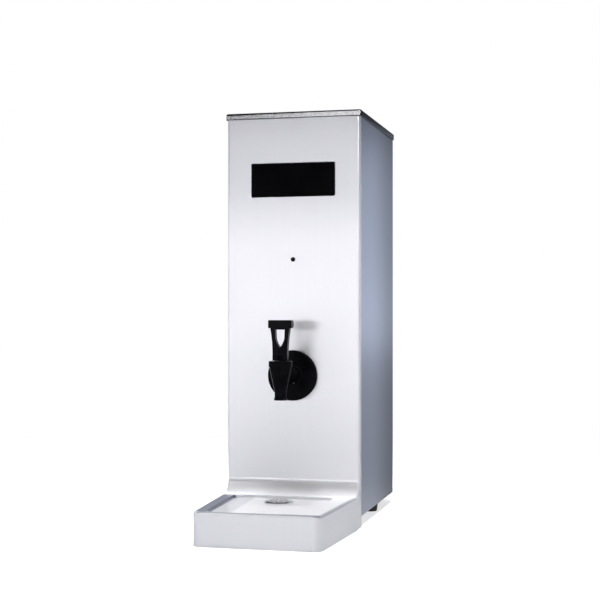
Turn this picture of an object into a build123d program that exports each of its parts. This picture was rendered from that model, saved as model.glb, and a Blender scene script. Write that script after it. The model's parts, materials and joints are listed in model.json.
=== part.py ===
import os

from build123d import *

os.makedirs("parts", exist_ok=True)

# Overall sizes in millimetres: X to the right, Y to the back, Z up from the worktop
overall_height = 600.0
casing_width = 198.0
casing_depth = 272.0
tray_length = 200.0
rear_reach = 22.0  # the longest rear fitting, outside the back panel
sheet = 1.2
casing_lift = 15.5  # gap under the casing, filled by the feet

# Fits shared by all pieces
overrun = 5.0  # how far a cut runs past what it cuts
seat_gap = 0.3  # between pieces that lie together
running_gap = 0.05  # radial, between a shaft and its hole
screw_gap = 0.2  # radial, round a screw
touch = 0.01  # how close counts as the same place when edges are picked

# Main planes
front_y = -(tray_length + casing_depth + rear_reach) / 2
panel_y = front_y + tray_length
back_y = panel_y + casing_depth
wall_x = casing_width / 2
inner_x = wall_x - sheet
top_z = overall_height - sheet
base_z = casing_lift + 2 * sheet  # upper face of the base plate

# Front housing: panel, cove and tray
rim_height = 46.0
tray_taper = 11.5  # how much narrower each side is at the front
taper_lead = 10.0
taper_blend = 120.0
tray_corner_radius = 14.0
cove_radius = 22.0
edge_radius = 4.0
return_depth = 10.0
basin_left_rim = 19.0
basin_right_rim = 33.0
basin_left = wall_x - basin_left_rim
basin_right = wall_x - basin_right_rim
basin_taper = 9.0
basin_front_rim = 8.5
basin_back_rim = 3.0  # flat left between the cove and the basin
basin_depth = 5.0
basin_fillet = 3.0
basin_sweep_radius = 50.0
basin_corner_radius = 13.0
basin_lip_radius = 1.0
basin_z = rim_height - basin_depth

# Display and indicator in the panel
display_width = 125.5
display_height = 49.5
display_corner = 1.5
display_drop = 98.7  # from the top to the window's middle
display_z = overall_height - display_drop
display_gap = 0.2
indicator_radius = 3.4
indicator_drop = 115.6  # below the window's middle
indicator_z = display_z - indicator_drop

# Faucet, whose spout and lever stand in front of the panel
faucet_z = 217.5
spout_reach = 70.0
spout_y = panel_y - spout_reach
shank_radius = 8.0
shank_bore = 5.0
arm_radius = 11.0

# Drain in the basin
drain_x = (basin_right - basin_left) / 2
drain_reach = 54.0  # from the panel forward
drain_y = panel_y - drain_reach
drain_bore = 10.0
drain_wall = 1.8
drain_tail_radius = drain_bore + drain_wall
drain_z = 24.5

# Tank
jacket_side_gap = 9.8
jacket_thickness = 12.0
jacket_radius = inner_x - jacket_side_gap
tank_radius = jacket_radius - jacket_thickness
tank_wall = 1.0
tank_front_gap = 64.0  # from the panel to the tank
stub_rise = 17.5  # faucet's axis above the tank's underside
tank_headroom = 130.0
tank_bottom = faucet_z - stub_rise
tank_top = overall_height - tank_headroom
tank_height = tank_top - tank_bottom
tank_y = panel_y + tank_front_gap + tank_radius


def front_plane(y):
    # Upright plane that faces the front, with X and Z as its own axes
    return Plane(origin=(0, y, 0), x_dir=(1, 0, 0), z_dir=(0, -1, 0))


def side_plane(x):
    # Upright plane that faces the right, with Y and Z as its own axes
    return Plane(origin=(x, 0, 0), x_dir=(0, 1, 0), z_dir=(1, 0, 0))


def bar_up(place, start, end, outer, inner=0, mode=Mode.ADD):
    # Round bar or tube along Z
    with BuildSketch(Plane.XY.offset(start)) as section:
        with Locations(place):
            Circle(outer)
            if inner:
                Circle(inner, mode=Mode.SUBTRACT)
    extrude(section.sketch, amount=end - start, mode=mode)


def bar_back(place, start, end, outer, inner=0, mode=Mode.ADD):
    # Round bar or tube along Y, place in X and Z
    with BuildSketch(front_plane(start)) as section:
        with Locations(place):
            Circle(outer)
            if inner:
                Circle(inner, mode=Mode.SUBTRACT)
    extrude(section.sketch, amount=start - end, mode=mode)


def bar_right(place, start, end, outer, mode=Mode.ADD):
    # Round bar along X, place in Y and Z
    with BuildSketch(side_plane(start)) as section:
        with Locations(place):
            Circle(outer)
    extrude(section.sketch, amount=end - start, mode=mode)


def slab_up(place, start, end, length_x, length_y, corner=0, mode=Mode.ADD):
    # Flat block between two heights
    with BuildSketch(Plane.XY.offset(start)) as section:
        with Locations(place):
            if corner:
                RectangleRounded(length_x, length_y, corner)
            else:
                Rectangle(length_x, length_y)
    extrude(section.sketch, amount=end - start, mode=mode)


def slab_back(place, start, end, length_x, length_z, corner=0, mode=Mode.ADD):
    # Flat block between two depths, place in X and Z
    with BuildSketch(front_plane(start)) as section:
        with Locations(place):
            if corner:
                RectangleRounded(length_x, length_z, corner)
            else:
                Rectangle(length_x, length_z)
    extrude(section.sketch, amount=start - end, mode=mode)


def slab_right(place, start, end, length_y, length_z, corner=0, mode=Mode.ADD):
    # Flat block between two sides, place in Y and Z
    with BuildSketch(side_plane(start)) as section:
        with Locations(place):
            if corner:
                RectangleRounded(length_y, length_z, corner)
            else:
                Rectangle(length_y, length_z)
    extrude(section.sketch, amount=end - start, mode=mode)


def hex_up(place, start, end, flats):
    # Hexagon bar along Z, sized across its flats
    with BuildSketch(Plane.XY.offset(start)) as section:
        with Locations(place):
            RegularPolygon(flats / 2, 6, major_radius=False)
    extrude(section.sketch, amount=end - start)


def hex_back(place, start, end, flats):
    # Hexagon bar along Y, sized across its flats
    with BuildSketch(front_plane(start)) as section:
        with Locations(place):
            RegularPolygon(flats / 2, 6, major_radius=False)
    extrude(section.sketch, amount=start - end)


def hose_along(points, bend, outer, inner=0):
    # Round tube along straight runs joined by arcs
    with BuildLine() as route:
        FilletPolyline(*points, radius=bend)
    start_plane = Plane(origin=route.line @ 0, z_dir=route.line % 0)
    with BuildSketch(start_plane) as section:
        Circle(outer)
        if inner:
            Circle(inner, mode=Mode.SUBTRACT)
    sweep(section.sketch, path=route.line)


# Front housing
def housing_block(inset, bottom, back):
    # Panel and tray as one block, drawn in from the true outer faces by inset
    front = front_y + inset
    panel = panel_y + inset
    rim = rim_height - inset
    top = top_z - inset
    half = wall_x - inset
    bend_y = panel_y - cove_radius - taper_lead
    with BuildPart() as block:
        with BuildSketch(Plane.YZ) as side:
            with BuildLine():
                Polyline(
                    (front, bottom),
                    (front, rim),
                    (panel, rim),
                    (panel, top),
                    (back, top),
                    (back, bottom),
                    close=True,
                )
            make_face()
            cove_corner = side.vertices().sort_by_distance((panel, rim))[0]
            fillet(cove_corner, cove_radius + inset)
        extrude(amount=half, both=True)
        with BuildSketch(Plane.XY.offset(bottom)) as plan:
            with BuildLine():
                Polyline(
                    (-half, back),
                    (-half, bend_y),
                    (tray_taper - half, front),
                    (half - tray_taper, front),
                    (half, bend_y),
                    (half, back),
                    close=True,
                )
            make_face()
            corners = plan.vertices().group_by(Axis.Y)
            fillet(corners[1], taper_blend)
            corners = plan.vertices().group_by(Axis.Y)
            fillet(corners[0], tray_corner_radius - inset)
        extrude(amount=top - bottom, mode=Mode.INTERSECT)
        skin_edges = []
        for edge in block.edges():
            middle = edge @ 0.5
            on_skin = rim - touch < middle.Z < top - touch and middle.Y < panel + touch
            outside = abs(middle.X) > tray_taper or middle.Y < front + touch
            if on_skin and outside:
                skin_edges.append(edge)
        fillet(skin_edges, edge_radius - inset)
    return block.part


def basin_block(grow):
    # Space of the basin, widened and deepened by grow
    basin_front = front_y + basin_front_rim
    basin_back = panel_y - cove_radius - basin_back_rim
    with BuildPart() as well:
        with BuildSketch(Plane.XY.offset(rim_height + overrun)) as plan:
            with BuildLine():
                Polyline(
                    (-basin_left, basin_back),
                    (basin_taper - basin_left, basin_front),
                    (basin_right, basin_front),
                    (basin_right, basin_back),
                    close=True,
                )
            make_face()
            sweep_corner = plan.vertices().sort_by_distance((basin_right, basin_front))[0]
            fillet(sweep_corner, basin_sweep_radius)
            back_corners = plan.vertices().group_by(Axis.Y)[-1]
            left_corner = plan.vertices().sort_by_distance((basin_taper - basin_left, basin_front))[0]
            fillet(back_corners + [left_corner], basin_corner_radius)
            if grow:
                offset(amount=grow)
        extrude(amount=-(basin_depth + overrun + grow))
        fillet(well.faces().sort_by(Axis.Z)[0].edges(), basin_fillet + grow)
    return well.part


housing_outer = housing_block(0, 0, panel_y + return_depth)
housing_inner = housing_block(sheet, -overrun, panel_y + return_depth + overrun)
basin_space = basin_block(0)
basin_skin = basin_block(sheet)

with BuildPart() as housing_cavity:
    add(housing_inner)
    add(basin_skin, mode=Mode.SUBTRACT)

with BuildPart() as front_housing:
    add(housing_outer)
    add(housing_cavity.part, mode=Mode.SUBTRACT)
    add(basin_space, mode=Mode.SUBTRACT)
    lip_face = front_housing.faces().filter_by(Axis.Z).sort_by_distance((0, front_y, rim_height))[0]
    fillet(lip_face.inner_wires()[0].edges(), basin_lip_radius)
    display_place = (0, display_z)
    slab_back(display_place, panel_y - overrun, panel_y + overrun, display_width, display_height,
              display_corner, Mode.SUBTRACT)
    bar_back((0, indicator_z), panel_y - overrun, panel_y + overrun,
             indicator_radius + running_gap, mode=Mode.SUBTRACT)
    bar_back((0, faucet_z), panel_y - overrun, panel_y + overrun, shank_radius + screw_gap,
             mode=Mode.SUBTRACT)
    bar_up((drain_x, drain_y), 0, rim_height, drain_tail_radius + screw_gap, mode=Mode.SUBTRACT)
front_housing.part.label = "front_housing"
export_step(front_housing.part, "parts/front_housing.step")


# Side panels with folded flanges
seam_gap = 0.4
side_front = panel_y + return_depth + seam_gap
bottom_flange = 34.0
top_flange = 12.0
back_flange = 14.0
screw_radius = 2.0
screw_hole = screw_radius + screw_gap
screw_inset = 7.0  # from the casing's side to the rear screws
rear_screw_shares = (0.04, 0.35, 0.65, 0.96)  # of the side panel's height
rear_screw_zs = [casing_lift + share * (top_z - casing_lift) for share in rear_screw_shares]
foot_inset = 17.0
foot_x = wall_x - foot_inset
foot_set_back = 165.0
foot_y = panel_y + foot_set_back
base_screw_x = foot_x
base_screw_front = 22.0
base_screw_back = 30.0
base_screw_ys = [side_front + base_screw_front, foot_y, back_y - base_screw_back]


def side_panel(side):
    # Web and three inward flanges of one side, side is -1 for left and 1 for right
    outer = side * wall_x
    inner = side * inner_x
    web_length = back_y - sheet - side_front
    web_y = side_front + web_length / 2
    web_height = top_z - casing_lift
    web_z = casing_lift + web_height / 2
    with BuildPart() as panel:
        slab_right((web_y, web_z), inner, outer, web_length, web_height)
        slab_up((outer - side * bottom_flange / 2, web_y), casing_lift, casing_lift + sheet,
                bottom_flange, web_length)
        slab_up((outer - side * top_flange / 2, web_y), top_z - sheet, top_z, top_flange, web_length)
        slab_back((outer - side * back_flange / 2, web_z), back_y - 2 * sheet, back_y - sheet,
                  back_flange, web_height)
        for screw_z in rear_screw_zs:
            bar_back((outer - side * screw_inset, screw_z), back_y - 2 * sheet - touch, back_y,
                     screw_hole, mode=Mode.SUBTRACT)
        for screw_y in base_screw_ys:
            bar_up((side * base_screw_x, screw_y), 0, base_z, screw_hole, mode=Mode.SUBTRACT)
    return panel.part


for side, label in ((-1, "left_side_panel"), (1, "right_side_panel")):
    side_part = side_panel(side)
    side_part.label = label
    export_step(side_part, f"parts/{label}.step")

# Strips that join the housing's returns to the side panels from inside
strip_thickness = 1.5
strip_lap = 12.0
strip_front = panel_y + edge_radius + seat_gap
strip_length = side_front + strip_lap - strip_front
strip_bottom = base_z + seat_gap
strip_height = top_z - sheet - seat_gap - strip_bottom

with BuildPart() as seam_strips:
    for side in (-1, 1):
        slab_right((strip_front + strip_length / 2, strip_bottom + strip_height / 2),
                   side * (inner_x - strip_thickness), side * inner_x, strip_length, strip_height)
seam_strips.part.label = "seam_strips"
export_step(seam_strips.part, "parts/seam_strips.step")

# Base plate on the bottom flanges
base_back_gap = 16.0  # free for the drain nut behind the plate
base_front = panel_y + edge_radius
base_back = back_y - 2 * sheet - base_back_gap
overflow_inset = 54.0
overflow_x = overflow_inset - wall_x
overflow_set_back = 240.0
overflow_y = panel_y + overflow_set_back
overflow_thread = 5.5

with BuildPart() as base_plate:
    slab_up((0, (base_front + base_back) / 2), casing_lift + sheet, base_z,
            2 * (inner_x - strip_thickness - seat_gap), base_back - base_front)
    for side in (-1, 1):
        for screw_y in base_screw_ys:
            bar_up((side * base_screw_x, screw_y), 0, base_z, screw_hole, mode=Mode.SUBTRACT)
    bar_up((overflow_x, overflow_y), 0, base_z, overflow_thread + screw_gap, mode=Mode.SUBTRACT)
base_plate.part.label = "base_plate"
export_step(base_plate.part, "parts/base_plate.step")

# Rear panel and everything that passes through it
inlet_inset = 47.0
inlet_x = wall_x - inlet_inset
inlet_z = 75.0
inlet_radius = 13.2
service_inset = 39.0
service_x = service_inset - wall_x  # column of the switch, the cut-out and the cable gland
gland_z = 62.0
gland_thread = 9.8
cutout_z = 105.0
cutout_neck = 5.0
switch_z = 150.0
switch_width = 20.0
switch_height = 28.0
outlet_thread = 6.0
louvre_inset = 29.0
louvre_gap = 28.0  # between the two columns
louvre_width = wall_x - louvre_inset - louvre_gap / 2
louvre_height = 5.0
louvre_pitch = 13.0
louvre_rows = 7
louvre_x = (louvre_gap + louvre_width) / 2
upper_louvre_drop = 95.0
upper_louvre_z = overall_height - upper_louvre_drop
lower_louvre_z = 300.0

with BuildPart() as rear_panel:
    slab_back((0, (casing_lift + top_z) / 2), back_y - sheet, back_y, casing_width, top_z - casing_lift)
    for centre_z in (lower_louvre_z, upper_louvre_z):
        with BuildSketch(front_plane(back_y + overrun)) as louvre_slots:
            with Locations((0, centre_z)):
                with GridLocations(2 * louvre_x, louvre_pitch, 2, louvre_rows):
                    SlotOverall(louvre_width, louvre_height)
        extrude(louvre_slots.sketch, amount=2 * overrun, mode=Mode.SUBTRACT)
    rear_holes = [
        (inlet_x, inlet_z, inlet_radius + screw_gap),
        (service_x, gland_z, gland_thread + screw_gap),
        (service_x, cutout_z, cutout_neck + screw_gap),
        (drain_x, drain_z, outlet_thread + screw_gap),
    ]
    for side in (-1, 1):
        for screw_z in rear_screw_zs:
            rear_holes.append((side * (wall_x - screw_inset), screw_z, screw_hole))
    for hole_x, hole_z, hole_radius in rear_holes:
        bar_back((hole_x, hole_z), back_y - overrun, back_y + overrun, hole_radius, mode=Mode.SUBTRACT)
    slab_back((service_x, switch_z), back_y - overrun, back_y + overrun,
              switch_width + 2 * seat_gap, switch_height + 2 * seat_gap, mode=Mode.SUBTRACT)
rear_panel.part.label = "rear_panel"
export_step(rear_panel.part, "parts/rear_panel.step")

# Polished top cover that lifts off
lid_overhang = 2.0
lid_skirt = 9.4
lid_edge_radius = 2.4
lid_corner_radius = 3.0
lid_hem_radius = 0.5
lid_y = (panel_y + back_y) / 2

with BuildPart() as top_lid:
    slab_up((0, lid_y), overall_height - lid_skirt, overall_height, casing_width + 2 * lid_overhang,
            casing_depth + 2 * lid_overhang, lid_corner_radius)
    fillet(top_lid.faces().sort_by(Axis.Z)[-1].edges(), lid_edge_radius)
    fillet(top_lid.faces().sort_by(Axis.Z)[0].edges(), lid_hem_radius)
    slab_up((0, lid_y), overall_height - lid_skirt - overrun, top_z,
            casing_width + 2 * (lid_overhang - sheet), casing_depth + 2 * (lid_overhang - sheet),
            lid_corner_radius - sheet, Mode.SUBTRACT)
top_lid.part.label = "top_lid"
export_step(top_lid.part, "parts/top_lid.step")

# Rubber feet with their screws
foot_top_radius = 14.0
foot_waist_radius = 12.0
foot_bottom_radius = 10.5
foot_collar = 3.0
foot_recess_radius = 5.5
foot_recess = 8.0
foot_edge_radius = 1.5

with BuildPart() as casing_feet:
    for side in (-1, 1):
        foot_axis = Axis((side * foot_x, foot_y, 0), (0, 0, 1))
        foot_plane = Plane(origin=(side * foot_x, foot_y, 0), x_dir=(1, 0, 0), z_dir=(0, -1, 0))
        with BuildSketch(foot_plane) as foot_profile:
            with BuildLine():
                Polyline(
                    (screw_hole, casing_lift),
                    (foot_top_radius, casing_lift),
                    (foot_top_radius, casing_lift - foot_collar),
                    (foot_waist_radius, casing_lift - foot_collar),
                    (foot_bottom_radius, 0),
                    (foot_recess_radius, 0),
                    (foot_recess_radius, foot_recess),
                    (screw_hole, foot_recess),
                    close=True,
                )
            make_face()
            foot_tip = foot_profile.vertices().sort_by_distance((foot_bottom_radius, 0))[0]
            fillet(foot_tip, foot_edge_radius)
        revolve(foot_profile.sketch, axis=foot_axis)
casing_feet.part.label = "casing_feet"
export_step(casing_feet.part, "parts/casing_feet.step")

# Screws through the flanges and the base plate, with nuts, and the rear panel's screws
screw_head_radius = 3.8
screw_head = 2.4
nut_flats = 7.0
nut_height = 3.0
screw_end = 1.5

with BuildPart() as base_screws:
    for side in (-1, 1):
        for screw_y in base_screw_ys:
            place = (side * base_screw_x, screw_y)
            seat_z = foot_recess if screw_y == foot_y else casing_lift
            bar_up(place, seat_z - screw_head, seat_z, screw_head_radius)
            bar_up(place, seat_z, base_z + nut_height + screw_end, screw_radius)
            hex_up(place, base_z, base_z + nut_height, nut_flats)
base_screws.part.label = "base_screws"
export_step(base_screws.part, "parts/base_screws.step")

rear_screw_length = 7.0
with BuildPart() as rear_screws:
    for side in (-1, 1):
        for screw_z in rear_screw_zs:
            place = (side * (wall_x - screw_inset), screw_z)
            bar_back(place, back_y, back_y + screw_head, screw_head_radius)
            bar_back(place, back_y - rear_screw_length, back_y, screw_radius)
rear_screws.part.label = "rear_screws"
export_step(rear_screws.part, "parts/rear_screws.step")

# Display window, flush with the panel and held by a rim behind it
window_rim = 4.0
window_rim_thickness = 1.8
window_width = display_width - 2 * display_gap
window_height = display_height - 2 * display_gap

with BuildPart() as display_window:
    slab_back((0, display_z), panel_y, panel_y + sheet, window_width, window_height,
              display_corner - display_gap)
    slab_back((0, display_z), panel_y + sheet, panel_y + sheet + window_rim_thickness,
              display_width + 2 * window_rim, display_height + 2 * window_rim, display_corner + window_rim)
display_window.part.label = "display_window"
export_step(display_window.part, "parts/display_window.step")

# Display board with its digit modules
board_thickness = 1.6
spacer_radius = 3.0
spacer_tip_radius = 1.5
spacer_tip = 2.5
display_board_set_back = 12.0
display_board_y = panel_y + display_board_set_back
display_board_margin = 15.25  # beyond each side of the window
display_board_width = display_width + 2 * display_board_margin
display_board_height = 46.0
display_hole_inset = 5.0
display_hole_x = display_board_width / 2 - display_hole_inset
display_hole_z = display_board_height / 2 - display_hole_inset
digit_width = 18.0
digit_height = 28.0
digit_pitch = 23.0
digit_count = 4
window_back_y = panel_y + sheet + window_rim_thickness
spacer_hole = spacer_tip_radius + running_gap

with BuildPart() as display_board:
    slab_back((0, display_z), display_board_y, display_board_y + board_thickness, display_board_width,
              display_board_height)
    for index in range(digit_count):
        digit_x = (index - (digit_count - 1) / 2) * digit_pitch
        slab_back((digit_x, display_z), window_back_y + seat_gap, display_board_y, digit_width, digit_height)
    for side_x in (-display_hole_x, display_hole_x):
        for side_z in (-display_hole_z, display_hole_z):
            bar_back((side_x, display_z + side_z), display_board_y - overrun, display_board_y + overrun,
                     spacer_hole, mode=Mode.SUBTRACT)
display_board.part.label = "display_board"
export_step(display_board.part, "parts/display_board.step")

# Control board beside the tank lid, on the right side panel
control_gap = 12.0
control_set_back = 130.0
control_y = panel_y + control_set_back
control_drop = 60.0
control_z = overall_height - control_drop
control_length = 130.0
control_height = 74.0
control_hole_inset = 6.0
control_hole_y = control_length / 2 - control_hole_inset
control_hole_z = control_height / 2 - control_hole_inset
control_x = inner_x - control_gap
control_face = control_x - board_thickness
tallest_block = 22.0
# Blocks on the board: place and size as shares of its length and height, then of the tallest block
control_block_shares = [
    (-0.3, 0.2, 0.23, 0.35, 1.0),
    (0.02, 0.2, 0.15, 0.22, 0.7),
    (0.2, 0.2, 0.15, 0.22, 0.7),
    (0.05, -0.25, 0.26, 0.19, 0.23),
    (-0.3, -0.27, 0.17, 0.16, 0.5),
    (0.36, -0.2, 0.09, 0.32, 0.55),
]

with BuildPart() as control_board:
    slab_right((control_y, control_z), control_face, control_x, control_length, control_height)
    for share_y, share_z, length_share, height_share, reach_share in control_block_shares:
        slab_right((control_y + share_y * control_length, control_z + share_z * control_height),
                   control_face - reach_share * tallest_block, control_face,
                   length_share * control_length, height_share * control_height)
    for side_y in (-control_hole_y, control_hole_y):
        for side_z in (-control_hole_z, control_hole_z):
            bar_right((control_y + side_y, control_z + side_z), control_face - overrun,
                      control_x + overrun, spacer_hole, mode=Mode.SUBTRACT)
control_board.part.label = "control_board"
export_step(control_board.part, "parts/control_board.step")

with BuildPart() as board_spacers:
    for side_x in (-display_hole_x, display_hole_x):
        for side_z in (-display_hole_z, display_hole_z):
            place = (side_x, display_z + side_z)
            bar_back(place, panel_y + sheet, display_board_y, spacer_radius)
            bar_back(place, display_board_y, display_board_y + spacer_tip, spacer_tip_radius)
    for side_y in (-control_hole_y, control_hole_y):
        for side_z in (-control_hole_z, control_hole_z):
            place = (control_y + side_y, control_z + side_z)
            bar_right(place, control_x, inner_x, spacer_radius)
            bar_right(place, control_x - spacer_tip, control_x, spacer_tip_radius)
board_spacers.part.label = "board_spacers"
export_step(board_spacers.part, "parts/board_spacers.step")

# Relay on its heat sink, on the left side panel
sink_thickness = 5.0
sink_length = 90.0
sink_height = 64.0
fin_thickness = 2.0
fin_reach = 16.0
fin_count = 9
relay_length = 58.0
relay_width = 44.0
relay_depth = 23.0
relay_y = control_y
relay_z = control_z
sink_face = sink_thickness - inner_x

with BuildPart() as power_relay:
    slab_right((relay_y, relay_z), -inner_x, sink_face, sink_length, sink_height)
    for index in range(fin_count):
        fin_place = (index / (fin_count - 1) - 0.5) * (sink_length - fin_thickness)
        if abs(fin_place) > relay_length / 2 + fin_thickness:
            slab_right((relay_y + fin_place, relay_z), sink_face, sink_face + fin_reach, fin_thickness,
                       sink_height)
    slab_right((relay_y, relay_z), sink_face, sink_face + relay_depth, relay_length, relay_width)
power_relay.part.label = "power_relay"
export_step(power_relay.part, "parts/power_relay.step")

# Indicator lens, pushed in from the front
lens_flange = 0.6
lens_dome = 0.6
lens_length = 9.0
lens_radius = indicator_radius

with BuildPart() as indicator_lens:
    bar_back((0, indicator_z), panel_y - lens_dome, panel_y + sheet + lens_length, lens_radius)
    fillet(indicator_lens.faces().sort_by(Axis.Y)[0].edges(), lens_dome - touch)
    bar_back((0, indicator_z), panel_y + sheet, panel_y + sheet + lens_flange, lens_radius + lens_dome)
indicator_lens.part.label = "indicator_lens"
export_step(indicator_lens.part, "parts/indicator_lens.step")


# Faucet flange on the panel
flange_radius = 36.5
flange_thickness = 6.0
flange_edge_radius = 2.0
hub_radius = 16.0
hub_reach = 3.0
hub_edge_radius = 1.5

with BuildPart() as faucet_flange:
    bar_back((0, faucet_z), panel_y - flange_thickness, panel_y, flange_radius)
    fillet(faucet_flange.faces().sort_by(Axis.Y)[0].edges(), flange_edge_radius)
    bar_back((0, faucet_z), panel_y - flange_thickness - hub_reach, panel_y - flange_thickness, hub_radius)
    fillet(faucet_flange.faces().sort_by(Axis.Y)[0].edges(), hub_edge_radius)
    bar_back((0, faucet_z), panel_y - flange_thickness - hub_reach - overrun, panel_y + overrun,
             arm_radius + seat_gap, mode=Mode.SUBTRACT)
faucet_flange.part.label = "faucet_flange"
export_step(faucet_flange.part, "parts/faucet_flange.step")

# Washer between the arm and the panel
shank_washer_thickness = 1.5

with BuildPart() as shank_washer:
    bar_back((0, faucet_z), panel_y - shank_washer_thickness, panel_y, arm_radius,
             shank_radius + screw_gap)
shank_washer.part.label = "shank_washer"
export_step(shank_washer.part, "parts/shank_washer.step")

# Shank screwed into the arm, through the panel
shank_entry = 14.0
shank_tail = 30.0  # behind the panel's front face
arm_back_y = panel_y - shank_washer_thickness
shank_front_y = arm_back_y - shank_entry

with BuildPart() as faucet_shank:
    bar_back((0, faucet_z), shank_front_y, panel_y + shank_tail, shank_radius, shank_bore)
faucet_shank.part.label = "faucet_shank"
export_step(faucet_shank.part, "parts/faucet_shank.step")

shank_nut_flats = 24.0
shank_nut_height = 6.0
with BuildPart() as shank_nut:
    hex_back((0, faucet_z), panel_y + sheet, panel_y + sheet + shank_nut_height, shank_nut_flats)
    bar_back((0, faucet_z), panel_y, panel_y + shank_tail, shank_radius + running_gap, mode=Mode.SUBTRACT)
shank_nut.part.label = "shank_nut"
export_step(shank_nut.part, "parts/shank_nut.step")

# Faucet body: arm, web and tapered barrel with its bores
spout_drop = 31.5
spout_z = faucet_z - spout_drop
spout_radius = 8.5
spout_bead = 0.8
spout_bead_height = 3.0
spout_cone_drop = 20.0
spout_cone_z = faucet_z - spout_cone_drop
barrel_rise = 15.5
barrel_top_z = faucet_z + barrel_rise
barrel_radius = 16.1
outlet_bore = 6.0
seat_drop = 14.5
seat_z = faucet_z - seat_drop
chamber_drop = 3.5
chamber_z = faucet_z - chamber_drop
chamber_radius = 9.6
web_width = 18.0
web_reach = 30.0
web_top_share = 0.6  # of the web's reach
spout_plane = Plane(origin=(0, spout_y, 0), x_dir=(1, 0, 0), z_dir=(0, -1, 0))
spout_axis = Axis((0, spout_y, 0), (0, 0, 1))

with BuildPart() as faucet_body:
    with BuildSketch(spout_plane) as barrel_profile:
        with BuildLine():
            Polyline(
                (0, spout_z),
                (spout_radius + spout_bead, spout_z),
                (spout_radius + spout_bead, spout_z + spout_bead_height),
                (spout_radius, spout_z + spout_bead_height + spout_bead),
                (spout_radius, spout_cone_z),
                (barrel_radius, barrel_top_z),
                (0, barrel_top_z),
                close=True,
            )
        make_face()
    revolve(barrel_profile.sketch, axis=spout_axis)
    bar_back((0, faucet_z), spout_y, arm_back_y, arm_radius)
    with BuildSketch(side_plane(-web_width / 2)) as web_profile:
        with BuildLine():
            Polyline(
                (spout_y, faucet_z),
                (spout_y, barrel_top_z),
                (spout_y + web_reach * web_top_share, barrel_top_z),
                (spout_y + web_reach, faucet_z),
                close=True,
            )
        make_face()
    extrude(web_profile.sketch, amount=web_width)
    with BuildSketch(spout_plane) as bore_profile:
        with BuildLine():
            Polyline(
                (0, spout_z - overrun),
                (outlet_bore, spout_z - overrun),
                (outlet_bore, seat_z),
                (chamber_radius, chamber_z),
                (chamber_radius, barrel_top_z + overrun),
                (0, barrel_top_z + overrun),
                close=True,
            )
        make_face()
    revolve(bore_profile.sketch, axis=spout_axis, mode=Mode.SUBTRACT)
    bar_back((0, faucet_z), spout_y, panel_y, shank_bore, mode=Mode.SUBTRACT)
    bar_back((0, faucet_z), shank_front_y - seat_gap, panel_y, shank_radius + running_gap,
             mode=Mode.SUBTRACT)
faucet_body.part.label = "faucet_body"
export_step(faucet_body.part, "parts/faucet_body.step")

# Bonnet screwed into the top of the barrel
collar_radius = 16.8
collar_height = 8.0
collar_edge_radius = 1.5
bonnet_top_z = barrel_top_z + collar_height
bonnet_plug = 8.0
bonnet_plug_z = barrel_top_z - bonnet_plug
stem_radius = 3.0

with BuildPart() as faucet_bonnet:
    bar_up((0, spout_y), barrel_top_z, bonnet_top_z, collar_radius)
    fillet(faucet_bonnet.faces().sort_by(Axis.Z)[-1].edges(), collar_edge_radius)
    bar_up((0, spout_y), bonnet_plug_z, barrel_top_z, chamber_radius - running_gap)
    bar_up((0, spout_y), bonnet_plug_z - overrun, bonnet_top_z + overrun, stem_radius + running_gap,
           mode=Mode.SUBTRACT)
faucet_bonnet.part.label = "faucet_bonnet"
export_step(faucet_bonnet.part, "parts/faucet_bonnet.step")

# Valve stem with the eye for the lever's pin
pivot_height = 6.0
pivot_z = bonnet_top_z + pivot_height
stem_tip = 3.5
cup_rise = 1.0
cup_bottom_z = seat_z + cup_rise
cup_floor = 2.5
cup_height = 8.0
cup_gap = 0.35  # from the seat's cone
pin_radius = 1.5
stem_bottom_z = cup_bottom_z + cup_floor

with BuildPart() as valve_stem:
    bar_up((0, spout_y), stem_bottom_z, pivot_z + stem_tip, stem_radius)
    bar_right((spout_y, pivot_z), -collar_radius, collar_radius, pin_radius + running_gap,
              mode=Mode.SUBTRACT)
valve_stem.part.label = "valve_stem"
export_step(valve_stem.part, "parts/valve_stem.step")

# Seat cup on the stem's lower end
seat_slope = (chamber_radius - outlet_bore) / (chamber_z - seat_z)
cup_top_z = cup_bottom_z + cup_height
cup_bottom_radius = outlet_bore + seat_slope * (cup_bottom_z - seat_z) - cup_gap
cup_top_radius = outlet_bore + seat_slope * (cup_top_z - seat_z) - cup_gap
with BuildPart() as seat_cup:
    with BuildSketch(spout_plane) as cup_profile:
        with BuildLine():
            Polyline(
                (0, cup_bottom_z),
                (cup_bottom_radius, cup_bottom_z),
                (cup_top_radius, cup_top_z),
                (stem_radius + running_gap, cup_top_z),
                (stem_radius + running_gap, stem_bottom_z),
                (0, stem_bottom_z),
                close=True,
            )
        make_face()
    revolve(cup_profile.sketch, axis=spout_axis)
seat_cup.part.label = "seat_cup"
export_step(seat_cup.part, "parts/seat_cup.step")

# Return spring round the stem, from the cup to the bonnet
spring_wire = 0.9
spring_radius = 6.0
spring_turns = 5
spring_bottom_z = cup_top_z + spring_wire / 2 + seat_gap
spring_length = bonnet_plug_z - seat_gap - spring_wire / 2 - spring_bottom_z

with BuildPart() as stem_spring:
    with BuildLine(Plane(origin=(0, spout_y, spring_bottom_z))) as spring_line:
        Helix(spring_length / spring_turns, spring_length, spring_radius)
    spring_start = Plane(origin=spring_line.line @ 0, z_dir=spring_line.line % 0)
    with BuildSketch(spring_start) as spring_section:
        Circle(spring_wire / 2)
    sweep(spring_section.sketch, path=spring_line.line, is_frenet=True)
stem_spring.part.label = "stem_spring"
export_step(stem_spring.part, "parts/stem_spring.step")

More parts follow.
